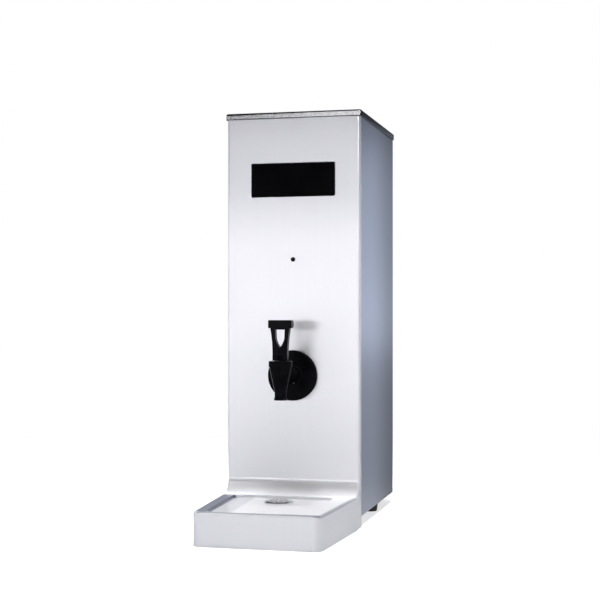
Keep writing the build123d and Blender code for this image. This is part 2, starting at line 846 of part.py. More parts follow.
# Lever: fork over the stem, struts round an eye, and a cross head
foot_half_width = 10.6
foot_half_depth = 4.5
lever_neck_rise = 9.0
lever_neck_z = pivot_z + lever_neck_rise
lever_head_rise = 39.8
lever_head_z = pivot_z + lever_head_rise
lever_top_rise = 51.0
lever_top_z = pivot_z + lever_top_rise
strut_half_width = 13.8
strut_waist_rise = 21.0
strut_waist_z = pivot_z + strut_waist_rise
strut_waist_half_width = 11.3
head_half_width = 16.8
head_front = 6.0
head_back = 10.0
head_corner = 1.2
eye_top_rise = 37.8
eye_top_z = pivot_z + eye_top_rise
eye_shoulder_rise = 26.0
eye_shoulder_z = pivot_z + eye_shoulder_rise
eye_point_rise = 12.6
eye_point_z = pivot_z + eye_point_rise
eye_top_half_width = 7.0
eye_shoulder_half_width = 6.5
eye_flank_half_width = 4.6
eye_flank_rise = 19.6
eye_flank_z = pivot_z + eye_flank_rise
slot_clearance = 0.4
slot_top = 5.8  # above the pivot
lever_bottom_z = bonnet_top_z + seat_gap
pin_recess = 0.6
pin_half_length = foot_half_width - pin_recess

with BuildPart() as faucet_lever:
    with BuildSketch(front_plane(spout_y)) as lever_outline:
        with BuildLine():
            Polyline((-foot_half_width, lever_neck_z), (-foot_half_width, lever_bottom_z),
                     (foot_half_width, lever_bottom_z), (foot_half_width, lever_neck_z))
            ThreePointArc((foot_half_width, lever_neck_z), (strut_waist_half_width, strut_waist_z),
                          (strut_half_width, lever_head_z))
            Line((strut_half_width, lever_head_z), (-strut_half_width, lever_head_z))
            ThreePointArc((-strut_half_width, lever_head_z), (-strut_waist_half_width, strut_waist_z),
                          (-foot_half_width, lever_neck_z))
        make_face()
        with BuildLine():
            Polyline((-eye_shoulder_half_width, eye_shoulder_z), (-eye_top_half_width, eye_top_z),
                     (eye_top_half_width, eye_top_z), (eye_shoulder_half_width, eye_shoulder_z))
            ThreePointArc((eye_shoulder_half_width, eye_shoulder_z), (eye_flank_half_width, eye_flank_z),
                          (0, eye_point_z))
            ThreePointArc((0, eye_point_z), (-eye_flank_half_width, eye_flank_z),
                          (-eye_shoulder_half_width, eye_shoulder_z))
        make_face(mode=Mode.SUBTRACT)
    extrude(lever_outline.sketch, amount=foot_half_depth, both=True)
    with BuildSketch(side_plane(-head_half_width)) as head_profile:
        head_middle_z = (lever_head_z + lever_top_z) / 2
        with BuildLine():
            Polyline((spout_y + head_back - (lever_top_z - lever_head_z) / 2, lever_top_z),
                     (spout_y - head_front, lever_top_z),
                     (spout_y - head_front, lever_head_z),
                     (spout_y + head_back - (lever_top_z - lever_head_z) / 2, lever_head_z))
            ThreePointArc((spout_y + head_back - (lever_top_z - lever_head_z) / 2, lever_head_z),
                          (spout_y + head_back, head_middle_z),
                          (spout_y + head_back - (lever_top_z - lever_head_z) / 2, lever_top_z))
        make_face()
    extrude(head_profile.sketch, amount=2 * head_half_width)
    head_ends = faucet_lever.faces().filter_by(Axis.X).sort_by(Axis.X)
    fillet(head_ends[0].edges() + head_ends[-1].edges(), head_corner)
    slab_up((0, spout_y), lever_bottom_z - overrun, pivot_z + slot_top, 2 * (stem_radius + slot_clearance),
            2 * foot_half_width, mode=Mode.SUBTRACT)
    bar_right((spout_y, pivot_z), -2 * foot_half_width, 2 * foot_half_width, pin_radius + running_gap,
              mode=Mode.SUBTRACT)
faucet_lever.part.label = "faucet_lever"
export_step(faucet_lever.part, "parts/faucet_lever.step")

with BuildPart() as lever_pin:
    bar_right((spout_y, pivot_z), -pin_half_length, pin_half_length, pin_radius)
lever_pin.part.label = "lever_pin"
export_step(lever_pin.part, "parts/lever_pin.step")

# Drain tail through the basin floor, with its strainer
tail_flange_radius = 21.0
tail_flange = 1.5
tail_drop = 6.0
tail_bottom_z = basin_z - tail_drop
strainer_radius = 18.0
strainer_thickness = 1.2
strainer_hole = 1.6
strainer_ring_shares = ((6, 0.6), (12, 1.15))  # holes, and the ring's share of the drain's bore
strainer_spigot = 3.0
strainer_spigot_wall = 1.4
floor_under_z = basin_z - sheet
flange_top_z = basin_z + tail_flange

with BuildPart() as drain_tail:
    bar_up((drain_x, drain_y), basin_z, flange_top_z, tail_flange_radius)
    chamfer(drain_tail.faces().sort_by(Axis.Z)[-1].edges(), tail_flange / 2)
    bar_up((drain_x, drain_y), tail_bottom_z, basin_z, drain_tail_radius)
    bar_up((drain_x, drain_y), tail_bottom_z - overrun, flange_top_z + overrun, drain_bore,
           mode=Mode.SUBTRACT)
drain_tail.part.label = "drain_tail"
export_step(drain_tail.part, "parts/drain_tail.step")

with BuildPart() as basin_strainer:
    bar_up((drain_x, drain_y), flange_top_z, flange_top_z + strainer_thickness, strainer_radius)
    fillet(basin_strainer.faces().sort_by(Axis.Z)[-1].edges(), strainer_thickness / 2)
    bar_up((drain_x, drain_y), flange_top_z - strainer_spigot, flange_top_z, drain_bore - seat_gap,
           drain_bore - seat_gap - strainer_spigot_wall)
    for hole_count, ring_share in strainer_ring_shares:
        with BuildSketch(Plane.XY.offset(flange_top_z - overrun)) as strainer_holes:
            with Locations((drain_x, drain_y)):
                with PolarLocations(ring_share * drain_bore, hole_count):
                    Circle(strainer_hole)
        extrude(strainer_holes.sketch, amount=2 * overrun, mode=Mode.SUBTRACT)
basin_strainer.part.label = "basin_strainer"
export_step(basin_strainer.part, "parts/basin_strainer.step")

drain_washer_thickness = 1.5
drain_washer_radius = 15.0
with BuildPart() as drain_washer:
    bar_up((drain_x, drain_y), floor_under_z - drain_washer_thickness, floor_under_z, drain_washer_radius,
           drain_tail_radius + screw_gap)
drain_washer.part.label = "drain_washer"
export_step(drain_washer.part, "parts/drain_washer.step")

# Elbow screwed on the tail, with the barb for the hose
elbow_radius = 15.0
elbow_drop = 10.5
elbow_bottom_z = drain_z - elbow_drop
elbow_floor = 3.0
elbow_chamber = 9.0
barb_radius = 4.6
barb_bore = 3.4
barb_length = 20.0
elbow_top_z = floor_under_z - drain_washer_thickness
drain_barb_end = drain_y + elbow_radius + barb_length

with BuildPart() as drain_elbow:
    bar_up((drain_x, drain_y), elbow_bottom_z, elbow_top_z, elbow_radius)
    bar_back((drain_x, drain_z), drain_y, drain_barb_end, barb_radius)
    bar_up((drain_x, drain_y), elbow_bottom_z + elbow_floor, elbow_top_z, elbow_chamber,
           mode=Mode.SUBTRACT)
    bar_up((drain_x, drain_y), tail_bottom_z - seat_gap, elbow_top_z + overrun,
           drain_tail_radius + running_gap, mode=Mode.SUBTRACT)
    bar_back((drain_x, drain_z), drain_y, drain_barb_end + overrun, barb_bore, mode=Mode.SUBTRACT)
drain_elbow.part.label = "drain_elbow"
export_step(drain_elbow.part, "parts/drain_elbow.step")

# Outlet through the rear panel, and the hose to it
outlet_flange_radius = 9.0
outlet_flange = 2.0
outlet_stub = 18.0
outlet_stub_radius = 5.0
outlet_nut_height = 5.0
outlet_inner_end = back_y - sheet - outlet_nut_height - barb_length

with BuildPart() as drain_outlet:
    bar_back((drain_x, drain_z), back_y, back_y + outlet_flange, outlet_flange_radius)
    bar_back((drain_x, drain_z), back_y, back_y + outlet_flange + outlet_stub, outlet_stub_radius)
    bar_back((drain_x, drain_z), back_y - sheet - outlet_nut_height, back_y, outlet_thread)
    bar_back((drain_x, drain_z), outlet_inner_end, back_y, barb_radius)
    bar_back((drain_x, drain_z), outlet_inner_end - overrun, back_y + rear_reach + overrun, barb_bore,
             mode=Mode.SUBTRACT)
drain_outlet.part.label = "drain_outlet"
export_step(drain_outlet.part, "parts/drain_outlet.step")

hose_wall = 1.5
with BuildPart() as drain_hose:
    bar_back((drain_x, drain_z), drain_y + elbow_radius + seat_gap,
             back_y - sheet - outlet_nut_height - seat_gap, barb_radius + running_gap + hose_wall,
             barb_radius + running_gap)
drain_hose.part.label = "drain_hose"
export_step(drain_hose.part, "parts/drain_hose.step")

# Tank stand: plate on four angle legs
stand_margin = 2.0
stand_half = jacket_radius + stand_margin
stand_plate = 2.0
stand_hole = 36.0
leg_width = 14.0
leg_thickness = 2.0
tank_inlet_x = inlet_x
tank_inlet_set_back = 30.0  # behind the tank's axis
tank_inlet_y = tank_y + tank_inlet_set_back
nipple_radius = 6.0
nipple_bore = 4.6
hose_clearance = 3.0
stand_top = tank_bottom
stand_under = stand_top - stand_plate

with BuildPart() as tank_stand:
    slab_up((0, tank_y), stand_under, stand_top, 2 * stand_half, 2 * stand_half)
    for side_x in (-1, 1):
        for side_y in (-1, 1):
            corner_x = side_x * stand_half
            corner_y = tank_y + side_y * stand_half
            slab_up((corner_x - side_x * leg_width / 2, corner_y - side_y * leg_thickness / 2), base_z,
                    stand_under, leg_width, leg_thickness)
            slab_up((corner_x - side_x * leg_thickness / 2, corner_y - side_y * leg_width / 2), base_z,
                    stand_under, leg_thickness, leg_width)
    bar_up((0, tank_y), 0, stand_top + overrun, stand_hole, mode=Mode.SUBTRACT)
    bar_up((tank_inlet_x, tank_inlet_y), 0, stand_top + overrun, nipple_radius + hose_clearance,
           mode=Mode.SUBTRACT)
tank_stand.part.label = "tank_stand"
export_step(tank_stand.part, "parts/tank_stand.step")

# Tank with its front outlet, lower inlet and the element's hole
tank_floor = 1.5
tank_rim_reach = 8.0
tank_rim_radius = tank_radius + tank_rim_reach
tank_rim = 2.0
stub_reach = 22.0
stub_bore = 6.8
element_hole = 16.0
nipple_drop = 22.0
bolt_ring_radius = 21.0
bolt_count = 4
bolt_start_angle = 45.0
bolt_radius = 2.5
bolt_hole = bolt_radius + screw_gap
tank_stub_y = tank_y - tank_radius - stub_reach


def bolt_places():
    # Places of the element's bolts round the tank's axis
    return PolarLocations(bolt_ring_radius, bolt_count, start_angle=bolt_start_angle)


with BuildPart() as tank_body:
    bar_up((0, tank_y), tank_bottom, tank_top, tank_radius)
    bar_up((0, tank_y), tank_top - tank_rim, tank_top, tank_rim_radius)
    bar_back((0, faucet_z), tank_stub_y, tank_y, shank_radius)
    bar_up((tank_inlet_x, tank_inlet_y), tank_bottom - nipple_drop, tank_bottom, nipple_radius)
    bar_up((0, tank_y), tank_bottom + tank_floor, tank_top + overrun, tank_radius - tank_wall,
           mode=Mode.SUBTRACT)
    bar_back((0, faucet_z), tank_stub_y - overrun, tank_y, stub_bore, mode=Mode.SUBTRACT)
    bar_up((tank_inlet_x, tank_inlet_y), tank_bottom - nipple_drop - overrun, tank_bottom + tank_floor,
           nipple_bore, mode=Mode.SUBTRACT)
    bar_up((0, tank_y), tank_bottom - overrun, tank_bottom + tank_floor, element_hole, mode=Mode.SUBTRACT)
    with BuildSketch(Plane.XY.offset(tank_bottom - overrun)) as bolt_holes:
        with Locations((0, tank_y)):
            with bolt_places():
                Circle(bolt_hole)
    extrude(bolt_holes.sketch, amount=2 * overrun, mode=Mode.SUBTRACT)
tank_body.part.label = "tank_body"
export_step(tank_body.part, "parts/tank_body.step")

# Heating element: two loops on a flange under the tank
element_gasket = 1.5
element_flange_radius = 26.0
element_flange = 5.0
element_rod = 3.6
element_half_span = 8.0
element_offset = 7.5
element_top = 150.0
element_terminal = 12.0
element_terminal_radius = 2.0
element_seat_z = tank_bottom - element_gasket
element_under_z = element_seat_z - element_flange

with BuildPart() as heating_element:
    bar_up((0, tank_y), element_under_z, element_seat_z, element_flange_radius)
    for side in (-1, 1):
        loop_y = tank_y + side * element_offset
        loop_top = tank_bottom + element_top
        hose_along(
            [
                (-element_half_span, loop_y, element_under_z),
                (-element_half_span, loop_y, loop_top),
                (element_half_span, loop_y, loop_top),
                (element_half_span, loop_y, element_under_z),
            ],
            element_half_span - touch,
            element_rod,
        )
        for side_x in (-1, 1):
            bar_up((side_x * element_half_span, loop_y), element_under_z - element_terminal,
                   element_under_z, element_terminal_radius)
    with BuildSketch(Plane.XY.offset(element_under_z - overrun)) as bolt_holes:
        with Locations((0, tank_y)):
            with bolt_places():
                Circle(bolt_hole)
    extrude(bolt_holes.sketch, amount=element_flange + 2 * overrun, mode=Mode.SUBTRACT)
heating_element.part.label = "heating_element"
export_step(heating_element.part, "parts/heating_element.step")

with BuildPart() as element_gasket_ring:
    bar_up((0, tank_y), element_seat_z, tank_bottom, element_flange_radius, element_hole)
    with BuildSketch(Plane.XY.offset(element_seat_z - overrun)) as bolt_holes:
        with Locations((0, tank_y)):
            with bolt_places():
                Circle(bolt_hole)
    extrude(bolt_holes.sketch, amount=2 * overrun, mode=Mode.SUBTRACT)
element_gasket_ring.part.label = "element_gasket"
export_step(element_gasket_ring.part, "parts/element_gasket.step")

# Bolts and nuts of the element's flange
bolt_flats = 8.0
bolt_head = 3.5
with BuildPart() as element_bolts:
    with BuildSketch(Plane.XY.offset(element_under_z - bolt_head)) as bolt_heads:
        with Locations((0, tank_y)):
            with bolt_places():
                RegularPolygon(bolt_flats / 2, 6, major_radius=False)
    extrude(bolt_heads.sketch, amount=bolt_head)
    with BuildSketch(Plane.XY.offset(element_under_z)) as bolt_shanks:
        with Locations((0, tank_y)):
            with bolt_places():
                Circle(bolt_radius)
    extrude(bolt_shanks.sketch, amount=tank_bottom + tank_floor - element_under_z)
    with BuildSketch(Plane.XY.offset(tank_bottom + tank_floor)) as bolt_nuts:
        with Locations((0, tank_y)):
            with bolt_places():
                RegularPolygon(bolt_flats / 2, 6, major_radius=False)
    extrude(bolt_nuts.sketch, amount=bolt_head)
element_bolts.part.label = "element_bolts"
export_step(element_bolts.part, "parts/element_bolts.step")

# Tank gasket and lid, with the probes and the vent nipple
gasket_thickness = 2.0
lid_plate = 2.0
probe_radius = 3.0
probe_flats = 14.0
probe_head = 8.0
probe_floor_gap = 80.0
probe_length = tank_height - probe_floor_gap
probe_x = 30.0
level_radius = 1.5
level_head_radius = 5.0
level_head = 14.0
level_length_shares = (0.16, 0.32, 0.9)  # of the temperature probe's length
level_pitch = 16.0
level_offset = 30.0  # in front of the tank's axis
level_y = tank_y - level_offset
vent_x = overflow_x
vent_offset = 30.0  # behind the tank's axis
vent_y = tank_y + vent_offset
vent_radius = 5.0
vent_bore = 3.8
vent_rise = 18.0
tank_lid_z = tank_top + gasket_thickness
tank_lid_top = tank_lid_z + lid_plate

with BuildPart() as tank_gasket:
    bar_up((0, tank_y), tank_top, tank_lid_z, tank_rim_radius, tank_radius)
tank_gasket.part.label = "tank_gasket"
export_step(tank_gasket.part, "parts/tank_gasket.step")

with BuildPart() as tank_lid:
    bar_up((0, tank_y), tank_lid_z, tank_lid_top, tank_rim_radius)
    bar_up((vent_x, vent_y), tank_lid_top, tank_lid_top + vent_rise, vent_radius)
    bar_up((vent_x, vent_y), tank_lid_z - overrun, tank_lid_top + vent_rise + overrun, vent_bore,
           mode=Mode.SUBTRACT)
    bar_up((probe_x, tank_y), tank_lid_z - overrun, tank_lid_top + overrun,
           probe_radius + screw_gap, mode=Mode.SUBTRACT)
    for index in range(len(level_length_shares)):
        bar_up(((index - 1) * level_pitch, level_y), tank_lid_z - overrun, tank_lid_top + overrun,
               level_radius + screw_gap, mode=Mode.SUBTRACT)
tank_lid.part.label = "tank_lid"
export_step(tank_lid.part, "parts/tank_lid.step")

with BuildPart() as temperature_probe:
    hex_up((probe_x, tank_y), tank_lid_top, tank_lid_top + probe_head, probe_flats)
    bar_up((probe_x, tank_y), tank_lid_top - probe_length, tank_lid_top, probe_radius)
temperature_probe.part.label = "temperature_probe"
export_step(temperature_probe.part, "parts/temperature_probe.step")

with BuildPart() as level_probes:
    for index, level_share in enumerate(level_length_shares):
        place = ((index - 1) * level_pitch, level_y)
        level_length = level_share * probe_length
        bar_up(place, tank_lid_top, tank_lid_top + level_head, level_head_radius)
        bar_up(place, tank_lid_top - level_length, tank_lid_top, level_radius)
level_probes.part.label = "level_probes"
export_step(level_probes.part, "parts/level_probes.step")

# Clips that clamp the tank's rim, gasket and lid
clip_count = 6
clip_width = 16.0
clip_wall = 2.0
clip_bite = 5.0
clip_reach = clip_bite + clip_wall + seat_gap
clip_bottom = tank_top - tank_rim - seat_gap - clip_wall
clip_top = tank_lid_top + seat_gap + clip_wall
with BuildPart() as tank_clips:
    for index in range(clip_count):
        clip_plane = Plane(origin=(0, tank_y, 0)).rotated((0, 0, index * 360 / clip_count))
        clip_middle = tank_rim_radius - clip_bite + clip_reach / 2
        with BuildSketch(clip_plane.offset(clip_bottom)) as clip_block:
            with Locations((clip_middle, 0)):
                Rectangle(clip_reach, clip_width)
        extrude(clip_block.sketch, amount=clip_top - clip_bottom)
    bar_up((0, tank_y), clip_bottom + clip_wall, clip_top - clip_wall, tank_rim_radius + seat_gap,
           mode=Mode.SUBTRACT)
tank_clips.part.label = "tank_clips"
export_step(tank_clips.part, "parts/tank_clips.step")

# Insulation round the tank
jacket_drop = 6.0  # below the tank's rim
jacket_hole = 13.0
with BuildPart() as insulation_jacket:
    bar_up((0, tank_y), tank_bottom, tank_top - jacket_drop, jacket_radius, tank_radius + seat_gap)
    bar_back((0, faucet_z), tank_stub_y - overrun, tank_y, jacket_hole, mode=Mode.SUBTRACT)
insulation_jacket.part.label = "insulation_jacket"
export_step(insulation_jacket.part, "parts/insulation_jacket.step")

# Hose from the tank to the faucet, with its clips
outlet_hose_wall = 3.0
outlet_hose_outer = shank_radius + running_gap + outlet_hose_wall
outlet_hose_set_back = 12.0
outlet_hose_start = panel_y + outlet_hose_set_back
outlet_hose_end = tank_y - jacket_radius + overrun
with BuildPart() as outlet_hose:
    bar_back((0, faucet_z), outlet_hose_start, outlet_hose_end, outlet_hose_outer,
             shank_radius + running_gap)
outlet_hose.part.label = "outlet_hose"
export_step(outlet_hose.part, "parts/outlet_hose.step")

clip_band = 0.8
clip_band_width = 8.0
clip_lug = 6.0
clip_offset = 1.0  # from the tank's stub end
with BuildPart() as hose_clips:
    for clip_y in (outlet_hose_start + clip_offset, tank_stub_y + clip_offset):
        slab_up((0, clip_y + clip_band_width / 2), faucet_z + outlet_hose_outer,
                faucet_z + outlet_hose_outer + clip_lug, clip_band_width, clip_band_width)
        bar_back((0, faucet_z), clip_y, clip_y + clip_band_width, outlet_hose_outer + clip_band,
                 outlet_hose_outer + running_gap)
hose_clips.part.label = "hose_clips"
export_step(hose_clips.part, "parts/hose_clips.step")

# Overflow fitting through the base plate
overflow_flange_radius = 9.0
overflow_flange = 2.5
overflow_barb = 17.6
overflow_tip_z = 6.0
overflow_nut_flats = 16.0
overflow_nut_height = 5.0
overflow_barb_z = base_z + overflow_flange

with BuildPart() as overflow_fitting:
    bar_up((overflow_x, overflow_y), overflow_tip_z, overflow_barb_z + overflow_barb, vent_radius)
    bar_up((overflow_x, overflow_y), casing_lift + sheet - overflow_nut_height, base_z, overflow_thread)
    bar_up((overflow_x, overflow_y), base_z, overflow_barb_z, overflow_flange_radius)
    bar_up((overflow_x, overflow_y), 0, overflow_barb_z + overflow_barb + overrun, vent_bore,
           mode=Mode.SUBTRACT)
overflow_fitting.part.label = "overflow_fitting"
export_step(overflow_fitting.part, "parts/overflow_fitting.step")

# Vent hose from the tank lid to the overflow fitting
vent_loop = 46.0  # rise of the hose above the lid
vent_top_z = tank_lid_top + vent_loop
vent_bend = 18.0
with BuildPart() as vent_hose:
    hose_along(
        [
            (vent_x, vent_y, tank_lid_top + seat_gap),
            (vent_x, vent_y, vent_top_z),
            (vent_x, overflow_y, vent_top_z),
            (vent_x, overflow_y, overflow_barb_z + seat_gap),
        ],
        vent_bend,
        vent_radius + running_gap + hose_wall,
        vent_radius + running_gap,
    )
vent_hose.part.label = "vent_hose"
export_step(vent_hose.part, "parts/vent_hose.step")

# Water inlet valve: threaded stub outside, body and core tube inside
inlet_neck = 0.8  # between the rear panel and the thread
inlet_neck_radius = 12.9
inlet_bore = 8.0
inlet_bore_depth = 18.0
inlet_flange_width = 46.0
inlet_flange = 4.0
inlet_body_radius = 14.0
inlet_body_length = 38.0
inlet_nipple = 22.0
inlet_port = 3.0
core_radius = 6.0
core_height = 48.0
core_cap = 4.0
plunger_radius = 4.0
plunger_drop = 8.0  # lowest point above the port's axis
plunger_length = 20.0
inlet_face_y = back_y - sheet
inlet_body_back = inlet_face_y - inlet_flange
inlet_body_front = inlet_body_back - inlet_body_length
core_y = (inlet_body_front + inlet_body_back) / 2
core_top_z = inlet_z + core_height

with BuildPart() as inlet_valve:
    slab_back((inlet_x, inlet_z), inlet_body_back, inlet_face_y, inlet_flange_width, inlet_flange_width,
              inlet_flange)
    bar_back((inlet_x, inlet_z), inlet_face_y, back_y + inlet_neck, inlet_neck_radius)
    bar_back((inlet_x, inlet_z), back_y + inlet_neck, back_y + rear_reach, inlet_radius)
    fillet(inlet_valve.faces().sort_by(Axis.Y)[-1].edges(), sheet)
    bar_back((inlet_x, inlet_z), inlet_body_front, inlet_body_back, inlet_body_radius)
    bar_back((inlet_x, inlet_z), inlet_body_front - inlet_nipple, inlet_body_front, nipple_radius)
    bar_up((inlet_x, core_y), inlet_z, core_top_z, core_radius)
    bar_up((inlet_x, core_y), inlet_z, core_top_z - core_cap, plunger_radius + running_gap,
           mode=Mode.SUBTRACT)
    bar_back((inlet_x, inlet_z), core_y, back_y + rear_reach + overrun, inlet_port, mode=Mode.SUBTRACT)
    bar_back((inlet_x, inlet_z), back_y + rear_reach - inlet_bore_depth, back_y + rear_reach + overrun,
             inlet_bore, mode=Mode.SUBTRACT)
    bar_back((inlet_x, inlet_z), inlet_body_front - inlet_nipple - overrun, core_y, nipple_bore,
             mode=Mode.SUBTRACT)
inlet_valve.part.label = "inlet_valve"
export_step(inlet_valve.part, "parts/inlet_valve.step")

with BuildPart() as valve_plunger:
    bar_up((inlet_x, core_y), inlet_z + plunger_drop, inlet_z + plunger_drop + plunger_length,
           plunger_radius)
valve_plunger.part.label = "valve_plunger"
export_step(valve_plunger.part, "parts/valve_plunger.step")

coil_width = 28.0
coil_depth = 30.0
coil_height = 26.0
coil_corner = 3.0
coil_z = inlet_z + inlet_body_radius + seat_gap
with BuildPart() as valve_coil:
    slab_up((inlet_x, core_y), coil_z, coil_z + coil_height, coil_width, coil_depth, coil_corner)
    bar_up((inlet_x, core_y), coil_z - overrun, coil_z + coil_height + overrun, core_radius + seat_gap,
           mode=Mode.SUBTRACT)
valve_coil.part.label = "valve_coil"
export_step(valve_coil.part, "parts/valve_coil.step")

inlet_hose_wall = 2.5
inlet_bend = 20.0
inlet_hose_gap = 8.0  # from the stand's plate
with BuildPart() as inlet_hose:
    hose_along(
        [
            (inlet_x, inlet_body_front - seat_gap, inlet_z),
            (inlet_x, tank_inlet_y, inlet_z),
            (inlet_x, tank_inlet_y, stand_under - inlet_hose_gap),
        ],
        inlet_bend,
        nipple_radius + running_gap + inlet_hose_wall,
        nipple_radius + running_gap,
    )
inlet_hose.part.label = "inlet_hose"
export_step(inlet_hose.part, "parts/inlet_hose.step")

# Terminal block on the base plate
terminal_inset = 49.0
terminal_x = terminal_inset - wall_x
terminal_set_back = 110.0
terminal_count = 5
terminal_pitch = 12.0
terminal_depth = 20.0
terminal_height = 18.0
terminal_step = 7.0
terminal_well = 3.2
terminal_well_depth = 6.0
terminal_wire = 2.2
terminal_wire_z = 6.0
terminal_y = panel_y + terminal_set_back

with BuildPart() as terminal_block:
    slab_up((terminal_x, terminal_y), base_z, base_z + terminal_height - terminal_step,
            terminal_count * terminal_pitch, terminal_depth)
    slab_up((terminal_x, terminal_y), base_z, base_z + terminal_height,
            terminal_count * terminal_pitch, terminal_depth / 2)
    for index in range(terminal_count):
        well_x = terminal_x + (index - (terminal_count - 1) / 2) * terminal_pitch
        bar_up((well_x, terminal_y), base_z + terminal_height - terminal_well_depth,
               base_z + terminal_height + overrun, terminal_well, mode=Mode.SUBTRACT)
        bar_back((well_x, base_z + terminal_wire_z), terminal_y - terminal_depth,
                 terminal_y + terminal_depth, terminal_wire, mode=Mode.SUBTRACT)
terminal_block.part.label = "terminal_block"
export_step(terminal_block.part, "parts/terminal_block.step")

# Overheat cut-out with its reset button
cutout_radius = 11.0
cutout_depth = 20.0
cutout_reach = 5.0
cutout_bore_depth = 12.0
cutout_nut_flats = 14.0
cutout_nut_height = 3.0
blade_width = 6.3
blade_thickness = 0.8
blade_length = 8.0
blade_offset = 6.0
button_radius = 2.5
button_reach = 8.0
button_tail = 3.0
inner_face_y = back_y - sheet

with BuildPart() as overheat_cutout:
    bar_back((service_x, cutout_z), inner_face_y - cutout_depth, inner_face_y, cutout_radius)
    bar_back((service_x, cutout_z), inner_face_y, back_y + cutout_reach, cutout_neck)
    bar_back((service_x, cutout_z), back_y + cutout_reach - cutout_bore_depth,
             back_y + cutout_reach + overrun, button_radius + running_gap, mode=Mode.SUBTRACT)
    for side in (-1, 1):
        slab_back((service_x, cutout_z + side * blade_offset), inner_face_y - cutout_depth - blade_length,
                  inner_face_y - cutout_depth, blade_width, blade_thickness)
overheat_cutout.part.label = "overheat_cutout"
export_step(overheat_cutout.part, "parts/overheat_cutout.step")

with BuildPart() as reset_button:
    bar_back((service_x, cutout_z), back_y - button_tail, back_y + button_reach, button_radius)
    fillet(reset_button.faces().sort_by(Axis.Y)[-1].edges(), button_radius / 2)
reset_button.part.label = "reset_button"
export_step(reset_button.part, "parts/reset_button.step")

# Mains switch and its rocker
bezel_lap = 2.0
bezel = 2.0
bezel_corner = 2.0
switch_depth = 22.0
rocker_recess = 8.0
rocker_half_width = 7.2
rocker_half_height = 10.2
rocker_rim = 4.9
rocker_dish = 3.0
rocker_belly = 4.5
rocker_belly_half = 3.0
rocker_edge = 1.0
rocker_angle = 10.0
rocker_play = 1.3
pivot_set_in = 1.0
pivot_radius = 1.2
pivot_half_length = 8.7
pivot_end_gap = 0.3
rocker_y = back_y - pivot_set_in

with BuildPart() as power_switch:
    slab_back((service_x, switch_z), inner_face_y - switch_depth, back_y, switch_width, switch_height)
    slab_back((service_x, switch_z), back_y, back_y + bezel, switch_width + 2 * bezel_lap,
              switch_height + 2 * bezel_lap, bezel_corner)
    slab_back((service_x, switch_z), back_y - rocker_recess, back_y + bezel + overrun,
              2 * (rocker_half_width + seat_gap), 2 * (rocker_half_height + rocker_play),
              mode=Mode.SUBTRACT)
    bar_right((rocker_y, switch_z), service_x - pivot_half_length - pivot_end_gap,
              service_x + pivot_half_length + pivot_end_gap, pivot_radius + running_gap,
              mode=Mode.SUBTRACT)
    for side in (-1, 1):
        slab_back((service_x, switch_z + side * blade_offset),
                  inner_face_y - switch_depth - blade_length, inner_face_y - switch_depth, blade_width,
                  blade_thickness)
power_switch.part.label = "power_switch"
export_step(power_switch.part, "parts/power_switch.step")

rocker_out = Vector(0, 1, 0).rotate(Axis.X, rocker_angle)
rocker_plane = Plane(origin=(service_x, rocker_y, switch_z), x_dir=rocker_out, z_dir=(1, 0, 0))
with BuildPart() as switch_rocker:
    with BuildSketch(rocker_plane) as rocker_profile:
        with BuildLine():
            Polyline(
                (rocker_dish, 0),
                (rocker_rim, rocker_half_height),
                (-rocker_edge, rocker_half_height),
                (-rocker_belly, rocker_belly_half),
                (-rocker_belly, -rocker_belly_half),
                (-rocker_edge, -rocker_half_height),
                (rocker_rim, -rocker_half_height),
                close=True,
            )
        make_face()
    extrude(rocker_profile.sketch, amount=rocker_half_width, both=True)
    bar_right((rocker_y, switch_z), service_x - pivot_half_length, service_x + pivot_half_length,
              pivot_radius)
switch_rocker.part.label = "switch_rocker"
export_step(switch_rocker.part, "parts/switch_rocker.step")

# Cable gland and its cap
gland_flats = 22.0
gland_hex = 5.0
gland_bore = 4.5
gland_inner = 10.0
gland_cap_radius = 11.0
gland_cap_length = 14.0
gland_cap_end = 3.5
gland_nut_flats = 24.0
gland_nut_height = 4.5
gland_cap_start = back_y + gland_hex
gland_cap_stop = gland_cap_start + gland_cap_length

with BuildPart() as cable_gland:
    bar_back((service_x, gland_z), inner_face_y - gland_inner, gland_cap_stop - gland_cap_end - seat_gap,
             gland_thread)
    hex_back((service_x, gland_z), back_y, gland_cap_start, gland_flats)
    bar_back((service_x, gland_z), inner_face_y - gland_inner - overrun, gland_cap_stop, gland_bore,
             mode=Mode.SUBTRACT)
cable_gland.part.label = "cable_gland"
export_step(cable_gland.part, "parts/cable_gland.step")

with BuildPart() as gland_cap:
    bar_back((service_x, gland_z), gland_cap_start, gland_cap_stop, gland_cap_radius)
    fillet(gland_cap.faces().sort_by(Axis.Y)[-1].edges(), gland_cap_end - sheet)
    bar_back((service_x, gland_z), gland_cap_start - overrun, gland_cap_stop - gland_cap_end,
             gland_thread + running_gap, mode=Mode.SUBTRACT)
    bar_back((service_x, gland_z), gland_cap_start, gland_cap_stop + overrun, gland_bore,
             mode=Mode.SUBTRACT)
gland_cap.part.label = "gland_cap"
export_step(gland_cap.part, "parts/gland_cap.step")

